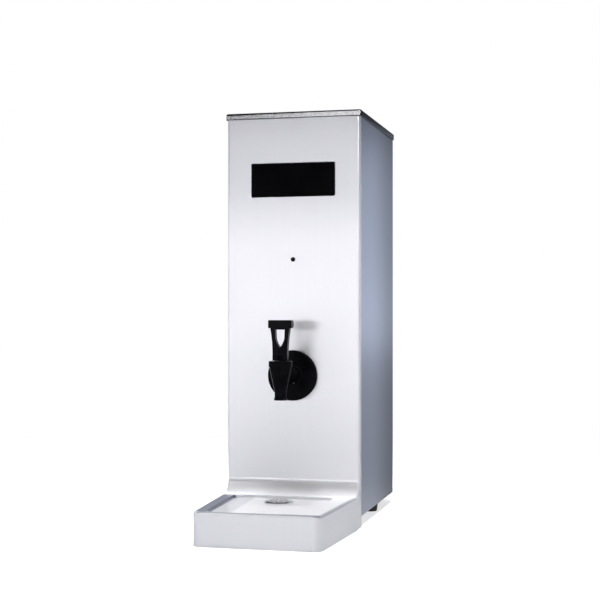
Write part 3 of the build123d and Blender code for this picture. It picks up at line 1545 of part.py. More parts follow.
# Nuts of the fittings
outlet_nut_flats = 15.0
with BuildPart() as fitting_nuts:
    hex_back((drain_x, drain_z), inner_face_y - outlet_nut_height, inner_face_y, outlet_nut_flats)
    bar_back((drain_x, drain_z), inner_face_y - outlet_nut_height, inner_face_y,
             outlet_thread + running_gap, mode=Mode.SUBTRACT)
    hex_back((service_x, gland_z), inner_face_y - gland_nut_height, inner_face_y, gland_nut_flats)
    bar_back((service_x, gland_z), inner_face_y - gland_nut_height, inner_face_y,
             gland_thread + running_gap, mode=Mode.SUBTRACT)
    hex_back((service_x, cutout_z), back_y, back_y + cutout_nut_height, cutout_nut_flats)
    bar_back((service_x, cutout_z), back_y, back_y + cutout_nut_height, cutout_neck + running_gap,
             mode=Mode.SUBTRACT)
    hex_up((overflow_x, overflow_y), casing_lift + sheet - overflow_nut_height, casing_lift + sheet,
           overflow_nut_flats)
    bar_up((overflow_x, overflow_y), casing_lift + sheet - overflow_nut_height, casing_lift + sheet,
           overflow_thread + running_gap, mode=Mode.SUBTRACT)
fitting_nuts.part.label = "fitting_nuts"
export_step(fitting_nuts.part, "parts/fitting_nuts.step")
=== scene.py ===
import json
import math

import bmesh
import bpy
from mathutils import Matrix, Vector


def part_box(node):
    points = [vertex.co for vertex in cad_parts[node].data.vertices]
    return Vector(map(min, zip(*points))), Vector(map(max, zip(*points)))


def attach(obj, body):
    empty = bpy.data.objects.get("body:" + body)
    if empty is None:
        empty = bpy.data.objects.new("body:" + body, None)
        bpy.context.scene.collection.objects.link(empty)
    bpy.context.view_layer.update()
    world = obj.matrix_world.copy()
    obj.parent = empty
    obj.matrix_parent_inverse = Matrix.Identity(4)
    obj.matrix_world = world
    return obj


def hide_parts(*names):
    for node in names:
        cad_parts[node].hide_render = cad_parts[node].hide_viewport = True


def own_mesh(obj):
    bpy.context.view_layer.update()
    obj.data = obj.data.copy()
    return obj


# Sizes and places are in metres: x runs to the right, y to the back and z up
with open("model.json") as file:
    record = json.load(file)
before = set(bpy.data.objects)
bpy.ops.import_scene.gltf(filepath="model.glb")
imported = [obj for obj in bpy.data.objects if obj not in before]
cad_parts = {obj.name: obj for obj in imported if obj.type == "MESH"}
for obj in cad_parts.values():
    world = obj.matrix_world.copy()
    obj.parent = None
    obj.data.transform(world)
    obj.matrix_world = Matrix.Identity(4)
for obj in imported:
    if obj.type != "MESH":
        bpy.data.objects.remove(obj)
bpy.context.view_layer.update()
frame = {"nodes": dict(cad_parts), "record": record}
print("frame loaded")

camera = {
    "place": (0.466, -1.874, 0.3088),
    "turn": 14.0,  # degrees to the left of straight ahead
    "lens": 78.0,
    "sensor": 36.0,
    "shiftY": 0.0207,
}


def addCamera(values):
    data = bpy.data.cameras.new("camera")
    data.lens = values["lens"]
    data.sensor_width = values["sensor"]
    data.shift_y = values["shiftY"]
    seen = bpy.data.objects.new("camera", data)
    seen.location = values["place"]
    seen.rotation_euler = (math.radians(90), 0, math.radians(values["turn"]))
    bpy.context.scene.collection.objects.link(seen)
    bpy.context.scene.camera = seen
    bpy.context.scene.view_settings.view_transform = "Standard"


addCamera(camera)
print("camera set")


# Shader maths written as Python expressions
class Wire:
    def __init__(self, shader, socket):
        self.shader = shader
        self.socket = socket

    def maths(self, operation, first, second):
        return self.shader.add("ShaderNodeMath", {"operation": operation}, {0: first, 1: second})

    def __add__(self, other):
        return self.maths("ADD", self, other)

    __radd__ = __add__

    def __sub__(self, other):
        return self.maths("SUBTRACT", self, other)

    def __rsub__(self, other):
        return self.maths("SUBTRACT", other, self)

    def __mul__(self, other):
        return self.maths("MULTIPLY", self, other)

    __rmul__ = __mul__

    def __truediv__(self, other):
        return self.maths("DIVIDE", self, other)

    def between(self, low, high):
        # 0 below low, 1 above high, smooth in between
        return self.shader.add("ShaderNodeMapRange", {"interpolation_type": "SMOOTHSTEP"},
                               {"Value": self, "From Min": low, "From Max": high})


class Shader:
    def __init__(self, tree):
        self.tree = tree
        tree.nodes.clear()

    def add(self, kind, settings=None, values=None, output=0):
        # A node of this kind: its settings first, then the values or links of its sockets
        node = self.tree.nodes.new(kind)
        for name, value in (settings or {}).items():
            if name == "stops":
                ramp = node.color_ramp
                while len(ramp.elements) < len(value):
                    ramp.elements.new(1.0)
                for element, (place, level) in zip(ramp.elements, value):
                    element.position = place
                    element.color = (level, level, level, 1)
            else:
                setattr(node, name, value)
        for name, value in (values or {}).items():
            socket = node.inputs[name]
            if isinstance(value, Wire):
                self.tree.links.new(value.socket, socket)
            else:
                socket.default_value = value
        return Wire(self, node.outputs[output]) if len(node.outputs) else None

    def mix(self, factor, first, second, blend="MIX"):
        # sockets 6 and 7 and output 2 are the node's colours
        return self.add("ShaderNodeMix", {"data_type": "RGBA", "blend_type": blend},
                        {0: factor, 6: first, 7: second}, 2)

    def axes(self, coordinates="Object"):
        # The x, y and z of the place on the object, or of the direction in the sky
        here = self.add("ShaderNodeTexCoord", None, None, coordinates)
        node = self.add("ShaderNodeSeparateXYZ", None, {0: here}).socket.node
        return [Wire(self, node.outputs[axis]) for axis in "XYZ"]

    def rays(self):
        # 1 where the camera looks straight on, and 1 where a shiny surface mirrors
        node = self.add("ShaderNodeLightPath").socket.node
        return [Wire(self, node.outputs[kind]) for kind in ("Is Camera Ray", "Is Glossy Ray")]


def colour(red, green, blue):
    return (red, green, blue, 1.0)


black = colour(0, 0, 0)
white = colour(1, 1, 1)


def newMaterial(name):
    material = bpy.data.materials.new(name)
    material.use_nodes = True
    return material, Shader(material.node_tree)


def finishMaterial(shader, settings, height, relief, depth):
    bump = shader.add("ShaderNodeBump", None,
                      {"Height": height, "Strength": relief, "Distance": depth})
    surface = shader.add("ShaderNodeBsdfPrincipled", None, {**settings, "Normal": bump})
    shader.add("ShaderNodeOutputMaterial", None, {"Surface": surface})


def grain(shader, stretch, detail=2.0, roughness=0.6):
    # Noise whose scale along each axis is given in lines per metre
    here = shader.add("ShaderNodeTexCoord", None, None, "Object")
    stretched = shader.add("ShaderNodeMapping", None, {"Vector": here, "Scale": stretch})
    return shader.add("ShaderNodeTexNoise", None,
                      {"Vector": stretched, "Scale": 1.0, "Detail": detail, "Roughness": roughness})


# Noise levels that count as 0 and 1, and the depth of a full bump in metres
noise = {"streaks": (0.3, 0.7), "patches": (0.35, 0.65), "steelDepth": 0.0002,
         "plasticDepth": 0.0003}

# Painted shade and painted reflection on the polished lid: how far in from the lid's faces its
# painted dark edges reach and end, in metres; the top one grows thicker to the left by "lean"
# metres per metre
lidPaintedEdgeShade = {"front": (0.0024, 0.00288), "top": (0.00154, 0.00308), "foot": (0.0006, 0.0014),
            "side": (0.001, 0.0014), "lean": 0.011, "darkness": 0.93}

# Painted shade and painted reflection on the pressed sheet, where it would mirror something darker:
# low and high corner, how wide the region fades, how far its x edges lean per metre of y, and how
# strong the painted shade is
housingPaintedShade = {
    "leftRim": ((-0.12, -0.238, 0.0445), (-0.0835, -0.078, 0.047), 0.002, 0.054, 0.85),
    "basinWall": ((-0.085, -0.2395, 0.0418), (0.0665, -0.078, 0.0457), 0.0003, 0.0, 0.85),
    "frontLip": ((-0.08, -0.245, 0.0446), (0.084, -0.2365, 0.0465), 0.0005, 0.0, 0.7),
    "rightEdge": ((0.0972, -0.243, 0.0436), (0.102, -0.07, 0.047), 0.0008, -0.0575, 0.45),
    "basinFloor": ((-0.09, -0.2385, 0.03), (-0.058, -0.072, 0.0414), 0.005, 0.054, 0.25),
    "panelTop": ((-1.0, -1.0, 0.5), (1.0, 1.0, 1.0), 0.1, 0.0, 0.18),
}
# the blue-grey colour of the painted shade and painted reflection on the pressed sheet
paintedShadeTint = colour(0.1, 0.115, 0.17)


# Brushed and polished metals. Lines are streaks per metre along x, y and z, clouds are patches per
# metre, and streaks and patches add roughSpread and smudge to the roughness
def makeSteel(name, values):
    material, shader = newMaterial(name)
    across, along, up = shader.axes()
    streaks = grain(shader, values["lines"])
    streak = streaks.between(*noise["streaks"])
    cloud = grain(shader, (values["clouds"],) * 3).between(*noise["patches"])
    roughness = values["roughness"] + values["roughSpread"] * streak + values["smudge"] * cloud
    tint = shader.mix(streak, colour(*values["dark"]), colour(*values["light"]))
    if "paintedRearShade" in values:
        # painted shade: the sheet's colour is darkened toward its rear end
        tint = shader.mix(along.between(*values["paintedRearShadeSpan"]) * values["paintedRearShade"], tint, black)
    if "paintedEdgeShade" in values:
        # painted shade and painted reflection: the rolled edges above and below the front's flat
        # band, and the sides, are painted darker
        low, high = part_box(values["paintedEdgeShade"])
        atFront = 1 - (along - low.y).between(*lidPaintedEdgeShade["front"])
        above = 1 - (high.z - up + across * lidPaintedEdgeShade["lean"]).between(*lidPaintedEdgeShade["top"])
        below = 1 - (up - low.z).between(*lidPaintedEdgeShade["foot"])
        atRight = 1 - (high.x - across).between(*lidPaintedEdgeShade["side"])
        atLeft = 1 - (across - low.x).between(*lidPaintedEdgeShade["side"])
        dark = (atFront * (above + below) + atRight + atLeft) * lidPaintedEdgeShade["darkness"]
        tint = shader.mix(dark, tint, black)
    # painted shade and painted reflection: each listed region of the sheet is darkened towards the
    # painted shade colour
    for low, high, fade, slant, amount in values.get("paintedShade", {}).values():
        inside = amount
        for place, start, end in zip((across + along * slant, along, up), low, high):
            inside = (place.between(start - fade, start)
                      * (1 - place.between(end, end + fade)) * inside)
        tint = shader.mix(inside, tint, paintedShadeTint)
    finishMaterial(shader, {"Base Color": tint, "Metallic": values.get("metallic", 1.0),
                            "Roughness": roughness},
                   streaks, values["relief"], noise["steelDepth"])
    return material


steelFinishes = {
    # light grey satin sheet, lines run up the panel and along the tray
    "housingSteel": {"light": (0.812, 0.812, 0.837), "dark": (0.803, 0.803, 0.828),
                     "lines": (700, 3, 3), "clouds": 9, "roughness": 0.279, "roughSpread": 0.006,
                     "smudge": 0.01, "relief": 0.0012, "metallic": 0.8, "paintedShade": housingPaintedShade},
    "sideSteel": {"light": (0.68, 0.715, 0.82), "dark": (0.67, 0.705, 0.81),
                  "lines": (900, 900, 3), "clouds": 7, "roughness": 0.278, "roughSpread": 0.012,
                  "smudge": 0.01, "relief": 0.0012, "paintedRearShadeSpan": (0.03, 0.24), "paintedRearShade": 0.6},
    "innerSteel": {"light": (0.68, 0.69, 0.71), "dark": (0.58, 0.59, 0.61),
                   "lines": (220, 220, 40), "clouds": 14, "roughness": 0.34, "roughSpread": 0.1,
                   "smudge": 0.06, "relief": 0.08},
    "tankSteel": {"light": (0.72, 0.72, 0.74), "dark": (0.62, 0.62, 0.64),
                  "lines": (60, 60, 900), "clouds": 18, "roughness": 0.3, "roughSpread": 0.08,
                  "smudge": 0.05, "relief": 0.06},
    "screwSteel": {"light": (0.74, 0.74, 0.76), "dark": (0.6, 0.6, 0.62),
                   "lines": (900, 900, 900), "clouds": 120, "roughness": 0.28,
                   "roughSpread": 0.08, "smudge": 0.06, "relief": 0.05},
    "lidChrome": {"light": (0.88, 0.88, 0.9), "dark": (0.84, 0.84, 0.86),
                  "lines": (700, 30, 700), "clouds": 6, "roughness": 0.2, "roughSpread": 0.01,
                  "smudge": 0.01, "relief": 0.0, "paintedEdgeShade": "top_lid"},
    "drainChrome": {"light": (0.9, 0.9, 0.92), "dark": (0.8, 0.8, 0.82),
                    "lines": (500, 500, 500), "clouds": 60, "roughness": 0.07,
                    "roughSpread": 0.03, "smudge": 0.03, "relief": 0.01},
    "trimSteel": {"light": (0.95, 0.95, 0.96), "dark": (0.9, 0.9, 0.92),
                  "lines": (500, 500, 500), "clouds": 60, "roughness": 0.2, "roughSpread": 0.04,
                  "smudge": 0.02, "relief": 0.01},
    "sinkAluminium": {"light": (0.76, 0.76, 0.78), "dark": (0.64, 0.64, 0.66),
                      "lines": (900, 20, 900), "clouds": 20, "roughness": 0.32,
                      "roughSpread": 0.1, "smudge": 0.05, "relief": 0.08},
    "elementSteel": {"light": (0.56, 0.52, 0.46), "dark": (0.36, 0.32, 0.3),
                     "lines": (120, 120, 60), "clouds": 40, "roughness": 0.36,
                     "roughSpread": 0.1, "smudge": 0.1, "relief": 0.08},
    "fittingBrass": {"light": (0.83, 0.64, 0.32), "dark": (0.66, 0.47, 0.2),
                     "lines": (300, 900, 300), "clouds": 60, "roughness": 0.28,
                     "roughSpread": 0.08, "smudge": 0.08, "relief": 0.05},
}


# Plastics, rubber and foam, with a fine grain and larger patches, both per metre
def makePlastic(name, values):
    material, shader = newMaterial(name)
    fine = grain(shader, (values["grain"],) * 3, detail=3.0, roughness=0.65)
    patch = grain(shader, (values["patches"],) * 3).between(*noise["patches"])
    tint = shader.mix(patch, colour(*values["dark"]), colour(*values["light"]))
    roughness = values["roughness"] + values["roughSpread"] * patch
    finishMaterial(shader, {"Base Color": tint, "Roughness": roughness,
                            "Specular IOR Level": values.get("gloss", 0.5)},
                   fine, values["relief"], noise["plasticDepth"])
    return material


plasticFinishes = {
    "faucetBlack": {"light": (0.002, 0.002, 0.0025), "dark": (0.001, 0.001, 0.0015),
                    "grain": 900, "patches": 60, "roughness": 0.13, "roughSpread": 0.04,
                    "relief": 0.02, "gloss": 0.04},
    "windowBlack": {"light": (0.001, 0.001, 0.0013), "dark": (0.0004, 0.0004, 0.0006),
                    "grain": 300, "patches": 12, "roughness": 0.09, "roughSpread": 0.02,
                    "relief": 0.004, "gloss": 0.05},
    "footRubber": {"light": (0.02, 0.02, 0.022), "dark": (0.01, 0.01, 0.011),
                   "grain": 1600, "patches": 150, "roughness": 0.55, "roughSpread": 0.15,
                   "relief": 0.25},
    "sealRubber": {"light": (0.05, 0.05, 0.05), "dark": (0.03, 0.03, 0.03),
                   "grain": 1500, "patches": 140, "roughness": 0.6, "roughSpread": 0.15,
                   "relief": 0.2},
    "hoseSilicone": {"light": (0.8, 0.8, 0.76), "dark": (0.7, 0.7, 0.66),
                     "grain": 500, "patches": 40, "roughness": 0.4, "roughSpread": 0.1,
                     "relief": 0.05},
    "fittingBlack": {"light": (0.05, 0.05, 0.055), "dark": (0.03, 0.03, 0.034),
                     "grain": 1300, "patches": 120, "roughness": 0.42, "roughSpread": 0.12,
                     "relief": 0.15},
    "coilBlack": {"light": (0.035, 0.035, 0.037), "dark": (0.02, 0.02, 0.022),
                  "grain": 1300, "patches": 120, "roughness": 0.45, "roughSpread": 0.1,
                  "relief": 0.15},
    "switchBlack": {"light": (0.018, 0.018, 0.02), "dark": (0.01, 0.01, 0.012),
                    "grain": 1200, "patches": 100, "roughness": 0.26, "roughSpread": 0.08,
                    "relief": 0.06},
    "buttonRed": {"light": (0.62, 0.03, 0.02), "dark": (0.48, 0.02, 0.015),
                  "grain": 1200, "patches": 150, "roughness": 0.24, "roughSpread": 0.06,
                  "relief": 0.05},
    "valveWhite": {"light": (0.86, 0.86, 0.83), "dark": (0.76, 0.76, 0.73),
                   "grain": 1200, "patches": 90, "roughness": 0.38, "roughSpread": 0.1,
                   "relief": 0.1},
    "spacerNylon": {"light": (0.84, 0.84, 0.8), "dark": (0.76, 0.76, 0.72),
                    "grain": 1200, "patches": 90, "roughness": 0.42, "roughSpread": 0.1,
                    "relief": 0.1},
    "boardGreen": {"light": (0.03, 0.2, 0.07), "dark": (0.015, 0.11, 0.04),
                   "grain": 420, "patches": 110, "roughness": 0.3, "roughSpread": 0.1,
                   "relief": 0.12},
    "jacketFoam": {"light": (0.2, 0.2, 0.21), "dark": (0.11, 0.11, 0.12),
                   "grain": 260, "patches": 60, "roughness": 0.8, "roughSpread": 0.12,
                   "relief": 0.8},
}

finishes = {name: makeSteel(name, values) for name, values in steelFinishes.items()}
finishes.update({name: makePlastic(name, values) for name, values in plasticFinishes.items()})

# the finish of each material slot of the CAD part
slotFinishes = {
    "housing_steel": "housingSteel", "side_steel": "sideSteel", "inner_steel": "innerSteel",
    "lid_chrome": "lidChrome", "foot_rubber": "footRubber", "screw_steel": "screwSteel",
    "window_black": "windowBlack", "board_green": "boardGreen", "spacer_nylon": "spacerNylon",
    "heat_sink": "sinkAluminium", "faucet_black": "faucetBlack", "hose_silicone": "hoseSilicone",
    "fitting_brass": "fittingBrass", "drain_chrome": "drainChrome", "seal_rubber": "sealRubber",
    "fitting_plastic": "fittingBlack", "tank_steel": "tankSteel", "jacket_foam": "jacketFoam",
    "element_steel": "elementSteel", "valve_plastic": "valveWhite", "coil_black": "coilBlack",
    "button_red": "buttonRed", "rocker_black": "switchBlack", "nut_plastic": "fittingBlack",
}
nodeSlots = {part["node"]: part["material_slot"] for part in frame["record"]["subparts"]}
# nodes that look otherwise than the rest of their slot
nodeFinishes = {"power_switch": "switchBlack", "overheat_cutout": "coilBlack",
                "valve_stem": "faucetBlack", "lever_pin": "faucetBlack"}

for name, node in frame["nodes"].items():
    chosen = finishes[nodeFinishes.get(name, slotFinishes[nodeSlots[name]])]
    if not node.material_slots:
        node.data.materials.append(chosen)
    for materialSlot in node.material_slots:
        materialSlot.material = chosen
print("finishes made")

pinhole = 1e-6  # radius of the ring that a profile is turned along
weld = 1e-5  # closer points than this become one, which shuts the pinhole
sharpEdge = 0.6  # radians; steeper edges stay sharp


# Geometry Nodes: trees built here, their results kept as plain meshes
class Tree(Shader):
    def __init__(self, name, inputs):
        super().__init__(bpy.data.node_groups.new(name, "GeometryNodeTree"))
        sockets = self.tree.interface
        sockets.new_socket("Geometry", in_out="OUTPUT", socket_type="NodeSocketGeometry")
        self.inputs = {}
        for label, kind in {"Source": "Geometry", **inputs, "Material": "Material"}.items():
            made = sockets.new_socket(label, in_out="INPUT", socket_type="NodeSocket" + kind)
            self.inputs[label] = made.identifier
        start = self.tree.nodes.new("NodeGroupInput")
        self.given = {label: Wire(self, start.outputs[label]) for label in self.inputs}

    def join(self, *wires):
        node = self.tree.nodes.new("GeometryNodeJoinGeometry")
        for wire in wires:
            self.tree.links.new(wire.socket, node.inputs[0])
        return Wire(self, node.outputs[0])

    def cut(self, solid, *tools):
        node = self.tree.nodes.new("GeometryNodeMeshBoolean")
        node.operation = "DIFFERENCE"
        self.tree.links.new(solid.socket, node.inputs["Mesh 1"])
        for tool in tools:
            self.tree.links.new(tool.socket, node.inputs["Mesh 2"])
        return Wire(self, node.outputs[0])

    def vector(self, x=0.0, y=0.0, z=0.0):
        return self.add("ShaderNodeCombineXYZ", None, {0: x, 1: y, 2: z})

    def circle(self, steps, radius):
        return self.add("GeometryNodeCurvePrimitiveCircle", {"mode": "RADIUS"},
                        {"Resolution": steps, "Radius": radius})

    def spiral(self, steps, turns, radius, height):
        return self.add("GeometryNodeCurveSpiral", None,
                        {"Resolution": steps, "Rotations": turns, "Start Radius": radius,
                         "End Radius": radius, "Height": height})

    def cylinder(self, sides, radius, length):
        return self.add("GeometryNodeMeshCylinder", None,
                        {"Vertices": sides, "Radius": radius, "Depth": length})

    def swept(self, path, profile):
        return self.add("GeometryNodeCurveToMesh", None,
                        {"Curve": path, "Profile Curve": profile, "Fill Caps": True})

    def moved(self, solid, changes):
        return self.add("GeometryNodeTransform", None, {"Geometry": solid, **changes})

    def raised(self, solid, height):
        return self.moved(solid, {"Translation": self.vector(z=height)})

    def facing(self, axis, direction):
        return self.add("FunctionNodeAlignRotationToVector", {"axis": axis}, {"Vector": direction})

    def turned(self, profile, steps):
        # A profile whose x is the radius and y the height, turned round the z axis
        solid = self.swept(self.circle(steps, pinhole), profile)
        welded = self.add("GeometryNodeMergeByDistance", None,
                          {"Geometry": solid, "Distance": weld})
        return self.moved(welded, {"Scale": (1, 1, -1)})  # it was swept upside down

    def aimed(self, solid, twist=None):
        # One copy on every source point, its z axis along the direction
        turn = self.facing("Z", self.given["Direction"])
        if twist:
            spin = self.add("FunctionNodeAxisAngleToRotation", None,
                            {"Axis": (0, 0, 1), "Angle": twist})
            turn = self.add("FunctionNodeRotateRotation", {"rotation_space": "LOCAL"},
                            {"Rotation": turn, "Rotate By": spin})
        return self.add("GeometryNodeInstanceOnPoints", None,
                        {"Points": self.given["Source"], "Instance": solid, "Rotation": turn})

    def finish(self, solid):
        whole = self.add("GeometryNodeRealizeInstances", None, {"Geometry": solid})
        smooth = self.add("GeometryNodeSetShadeSmooth", None,
                          {"Geometry": whole, "Shade Smooth": True})
        edge = self.add("GeometryNodeInputMeshEdgeAngle")
        sharp = self.add("FunctionNodeCompare", {"operation": "GREATER_THAN"},
                         {0: edge, 1: sharpEdge})
        shaded = self.add("GeometryNodeSetShadeSmooth", {"domain": "EDGE"},
                          {"Geometry": smooth, "Selection": sharp, "Shade Smooth": False})
        painted = self.add("GeometryNodeSetMaterial", None,
                           {"Geometry": shaded, "Material": self.given["Material"]})
        self.add("NodeGroupOutput", None, {0: painted})
        return self


def grown(tree, source, values, finish):
    # The tree's result as a plain mesh. The source is a list of points, or of points and edges;
    # values that the tree has no input for are left out
    points, edges = source if isinstance(source, tuple) else (source, [])
    start = bpy.data.meshes.new("source")
    start.from_pydata(points, edges, [])
    holder = bpy.data.objects.new("holder", start)
    bpy.context.scene.collection.objects.link(holder)
    modifier = holder.modifiers.new("grow", "NODES")
    modifier.node_group = tree.tree
    for label, value in {**values, "Material": finishes[finish]}.items():
        if label in tree.inputs:
            modifier[tree.inputs[label]] = value
    view = bpy.context.evaluated_depsgraph_get()
    mesh = bpy.data.meshes.new_from_object(holder.evaluated_get(view))
    bpy.data.objects.remove(holder)
    return mesh


def makePiece(name, meshes, body, finish, slotName, *nodes):
    # The meshes as one piece that moves with the body and stands for the CAD nodes, if any
    shape = bmesh.new()
    for mesh in meshes:
        shape.from_mesh(mesh)
    bmesh.ops.recalc_face_normals(shape, faces=shape.faces)
    whole = bpy.data.meshes.new(name)
    shape.to_mesh(whole)
    shape.free()
    whole.materials.append(finishes[finish])
    piece = bpy.data.objects.new(name, whole)
    bpy.context.scene.collection.objects.link(piece)
    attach(piece, body)
    if nodes:
        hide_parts(*nodes)
    return piece


screws = {
    "Head Radius": 0.0038, "Head Height": 0.0024, "Recess Width": 0.0009, "Recess Length": 0.004,
    "Recess Depth": 0.0012, "Shank Radius": 0.0018, "Pitch": 0.0007, "Thread Depth": 0.0002,
    "bulge": 0.95, "domeSteps": 10, "headSteps": 36, "shankSides": 24, "threadSteps": 24,
    "threadSides": 3, "twist": 1.57, "seed": 11,
    "ease": (1.01, 1.03),  # the second slot is a little wider and deeper, so no faces coincide
}
rearScrews = {"rows": (0.0, 0.337, 0.663, 1.0), "Length": 0.007, "Direction": (0, 1, 0)}
baseScrews = {"Nut Flats": 0.007, "Nut Height": 0.003, "Screw End": 0.0015,
              "Direction": (0, 0, -1)}
baseRows = {"x": 0.082, "footY": 0.118, "footSeat": 0.008, "seat": 0.0155, "top": 0.0224}


def screwTree(name, withNut):
    labels = ["Head Radius", "Head Height", "Recess Width", "Recess Length", "Recess Depth",
              "Shank Radius", "Length", "Pitch", "Thread Depth"]
    if withNut:
        labels += ["Nut Flats", "Nut Height", "Screw End"]
    tree = Tree(name, {"Direction": "Vector", **dict.fromkeys(labels, "Float")})
    given = tree.given
    radius, height = given["Head Radius"], given["Head Height"]
    foot = tree.add("GeometryNodeCurvePrimitiveLine", None,
                    {"Start": (0, 0, 0), "End": tree.vector(radius)})
    dome = tree.add("GeometryNodeCurveQuadraticBezier", None,
                    {"Resolution": screws["domeSteps"], "Start": tree.vector(radius),
                     "Middle": tree.vector(radius * screws["bulge"], height),
                     "End": tree.vector(0.0, height)})
    head = tree.turned(tree.join(foot, dome), screws["headSteps"])
    wide, long, deep = given["Recess Width"], given["Recess Length"], given["Recess Depth"] * 2
    wider, deeper = screws["ease"]
    slots = [tree.raised(tree.add("GeometryNodeMeshCube", None, {"Size": size}), height)
             for size in (tree.vector(long, wide, deep),
                          tree.vector(wide * wider, long, deep * deeper))]
    head = tree.cut(head, *slots)
    length, pitch, shankRadius = given["Length"], given["Pitch"], given["Shank Radius"]
    shank = tree.raised(tree.cylinder(screws["shankSides"], shankRadius, length), length * -0.5)
    spiral = tree.spiral(screws["threadSteps"], length / pitch - 1, shankRadius, length - pitch)
    thread = tree.swept(spiral, tree.circle(screws["threadSides"], given["Thread Depth"]))
    thread = tree.raised(thread, length * -1 + pitch * 0.5)
    twist = tree.add("FunctionNodeRandomValue", {"data_type": "FLOAT"},
                     {2: 0.0, 3: screws["twist"], "Seed": screws["seed"]}, 1)
    placed = [tree.aimed(tree.join(head, shank, thread), twist)]
    if withNut:
        cornerRadius = given["Nut Flats"] * (1 / math.sqrt(3))
        nut = tree.cylinder(6, cornerRadius, given["Nut Height"])
        nutMiddle = length * -1 + given["Screw End"] + given["Nut Height"] * 0.5
        placed.append(tree.aimed(tree.raised(nut, nutMiddle)))
    return tree.finish(tree.join(*placed))


def makeScrews():
    radius, height = screws["Head Radius"], screws["Head Height"]
    low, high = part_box("rear_screws")
    span = high.z - low.z - 2 * radius
    places = [(x, high.y - height, low.z + radius + share * span)
              for x in (low.x + radius, high.x - radius) for share in rearScrews["rows"]]
    mesh = grown(screwTree("rearScrews", False), places, {**screws, **rearScrews}, "screwSteel")
    makePiece("rearScrews", [mesh], "casing", "screwSteel", "screw_steel", "rear_screws")
    low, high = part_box("base_screws")
    tree = screwTree("baseScrews", True)
    meshes = []
    for depths, bottom in (((low.y + radius, high.y - radius), baseRows["seat"]),
                           ((baseRows["footY"],), baseRows["footSeat"])):
        places = [(x, y, bottom) for x in (-baseRows["x"], baseRows["x"]) for y in depths]
        sizes = {**screws, **baseScrews, "Length": baseRows["top"] - bottom}
        meshes.append(grown(tree, places, sizes, "screwSteel"))
    makePiece("baseScrews", meshes, "casing", "screwSteel", "screw_steel", "base_screws")


louvreRims = {
    "Width": 0.056, "Height": 0.005, "Corner": 0.00245, "Wire Radius": 0.0006,
    "Direction": (0, 1, 0), "columns": (-0.042, 0.042), "rows": 7, "pitch": 0.013,
    "heights": (0.3, 0.505),
}
displayRim = {"Width": 0.1258, "Height": 0.0498, "Corner": 0.0016, "Wire Radius": 0.00045,
              "Direction": (0, 1, 0)}
rimSteps = {"corner": 8, "wire": 10}


def rimTree():
    # A rounded wire bent into a rounded rectangle, one round every source point
    tree = Tree("rims", {"Direction": "Vector", "Width": "Float", "Height": "Float",
                         "Corner": "Float", "Wire Radius": "Float"})
    given = tree.given
    outline = tree.add("GeometryNodeCurvePrimitiveQuadrilateral", {"mode": "RECTANGLE"},
                       {"Width": given["Width"], "Height": given["Height"]})
    rounded = tree.add("GeometryNodeFilletCurve", {"mode": "POLY"},
                       {"Curve": outline, "Count": rimSteps["corner"],
                        "Radius": given["Corner"], "Limit Radius": True})
    wire = tree.circle(rimSteps["wire"], given["Wire Radius"])
    return tree.finish(tree.aimed(tree.swept(rounded, wire)))


def makeRims():
    tree = rimTree()
    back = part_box("rear_panel")[1].y
    half = (louvreRims["rows"] - 1) / 2
    places = [(x, back, z + (row - half) * louvreRims["pitch"]) for x in louvreRims["columns"]
              for z in louvreRims["heights"] for row in range(louvreRims["rows"])]
    mesh = grown(tree, places, louvreRims, "innerSteel")
    makePiece("louvreRims", [mesh], "casing", "innerSteel", "inner_steel")
    low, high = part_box("display_window")
    mesh = grown(tree, [(0, low.y, (low.z + high.z) / 2)], displayRim, "trimSteel")
    makePiece("displayRim", [mesh], "casing", "trimSteel", "housing_steel")


inletThread = {"Radius": 0.01315, "Length": 0.0182, "Pitch": 0.00181, "Wire Radius": 0.0004,
               "Sides": 4, "Direction": (0, 1, 0), "place": (0.052, 0.2266, 0.075)}
returnSpring = {"Wire Radius": 0.00043, "Sides": 12, "Direction": (0, 0, 1), "turns": 5,
                "joint": "valve_lift",
                "ease": 1.1}  # wire radii kept between the wire's middle and the box
coilSteps = 64  # points in one turn


def coilTree():
    # A wire wound along the direction: a thread's ridge or a spring
    tree = Tree("coils", {"Direction": "Vector", "Radius": "Float", "Length": "Float",
                          "Pitch": "Float", "Wire Radius": "Float", "Sides": "Int"})
    given = tree.given
    turns = given["Length"] / given["Pitch"]
    spiral = tree.spiral(coilSteps, turns, given["Radius"], given["Length"])
    wire = tree.circle(given["Sides"], given["Wire Radius"])
    return tree.finish(tree.aimed(tree.swept(spiral, wire)))


def makeCoils():
    tree = coilTree()
    mesh = grown(tree, [inletThread["place"]], inletThread, "valveWhite")
    makePiece("inletThread", [mesh], "casing", "valveWhite", "valve_plastic")
    low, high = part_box("stem_spring")
    inset = returnSpring["Wire Radius"] * returnSpring["ease"]
    foot = ((low.x + high.x) / 2, (low.y + high.y) / 2, low.z + inset)
    length = high.z - low.z - 2 * inset
    sizes = {**returnSpring, "Radius": (high.x - low.x) / 2 - inset, "Length": length,
             "Pitch": length / returnSpring["turns"]}
    piece = makePiece("returnSpring", [grown(tree, [foot], sizes, "screwSteel")], "valve",
                      "screwSteel", "screw_steel", "stem_spring")
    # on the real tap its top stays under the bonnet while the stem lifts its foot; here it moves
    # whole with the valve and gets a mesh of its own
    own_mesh(piece)


glandCap = {"bore": 0.0045, "inner": 0.0101, "outer": 0.0104, "edge": 0.0028, "edgeSteps": 8,
            "end": 0.0035, "Steps": 64, "Direction": (0, 1, 0)}
glandRibs = {"Count": 24, "Radius": 0.0104, "Rib Width": 0.0013, "Rib Height": 0.00055,
             "Length": 0.0102, "Direction": (0, 1, 0), "sides": 8}


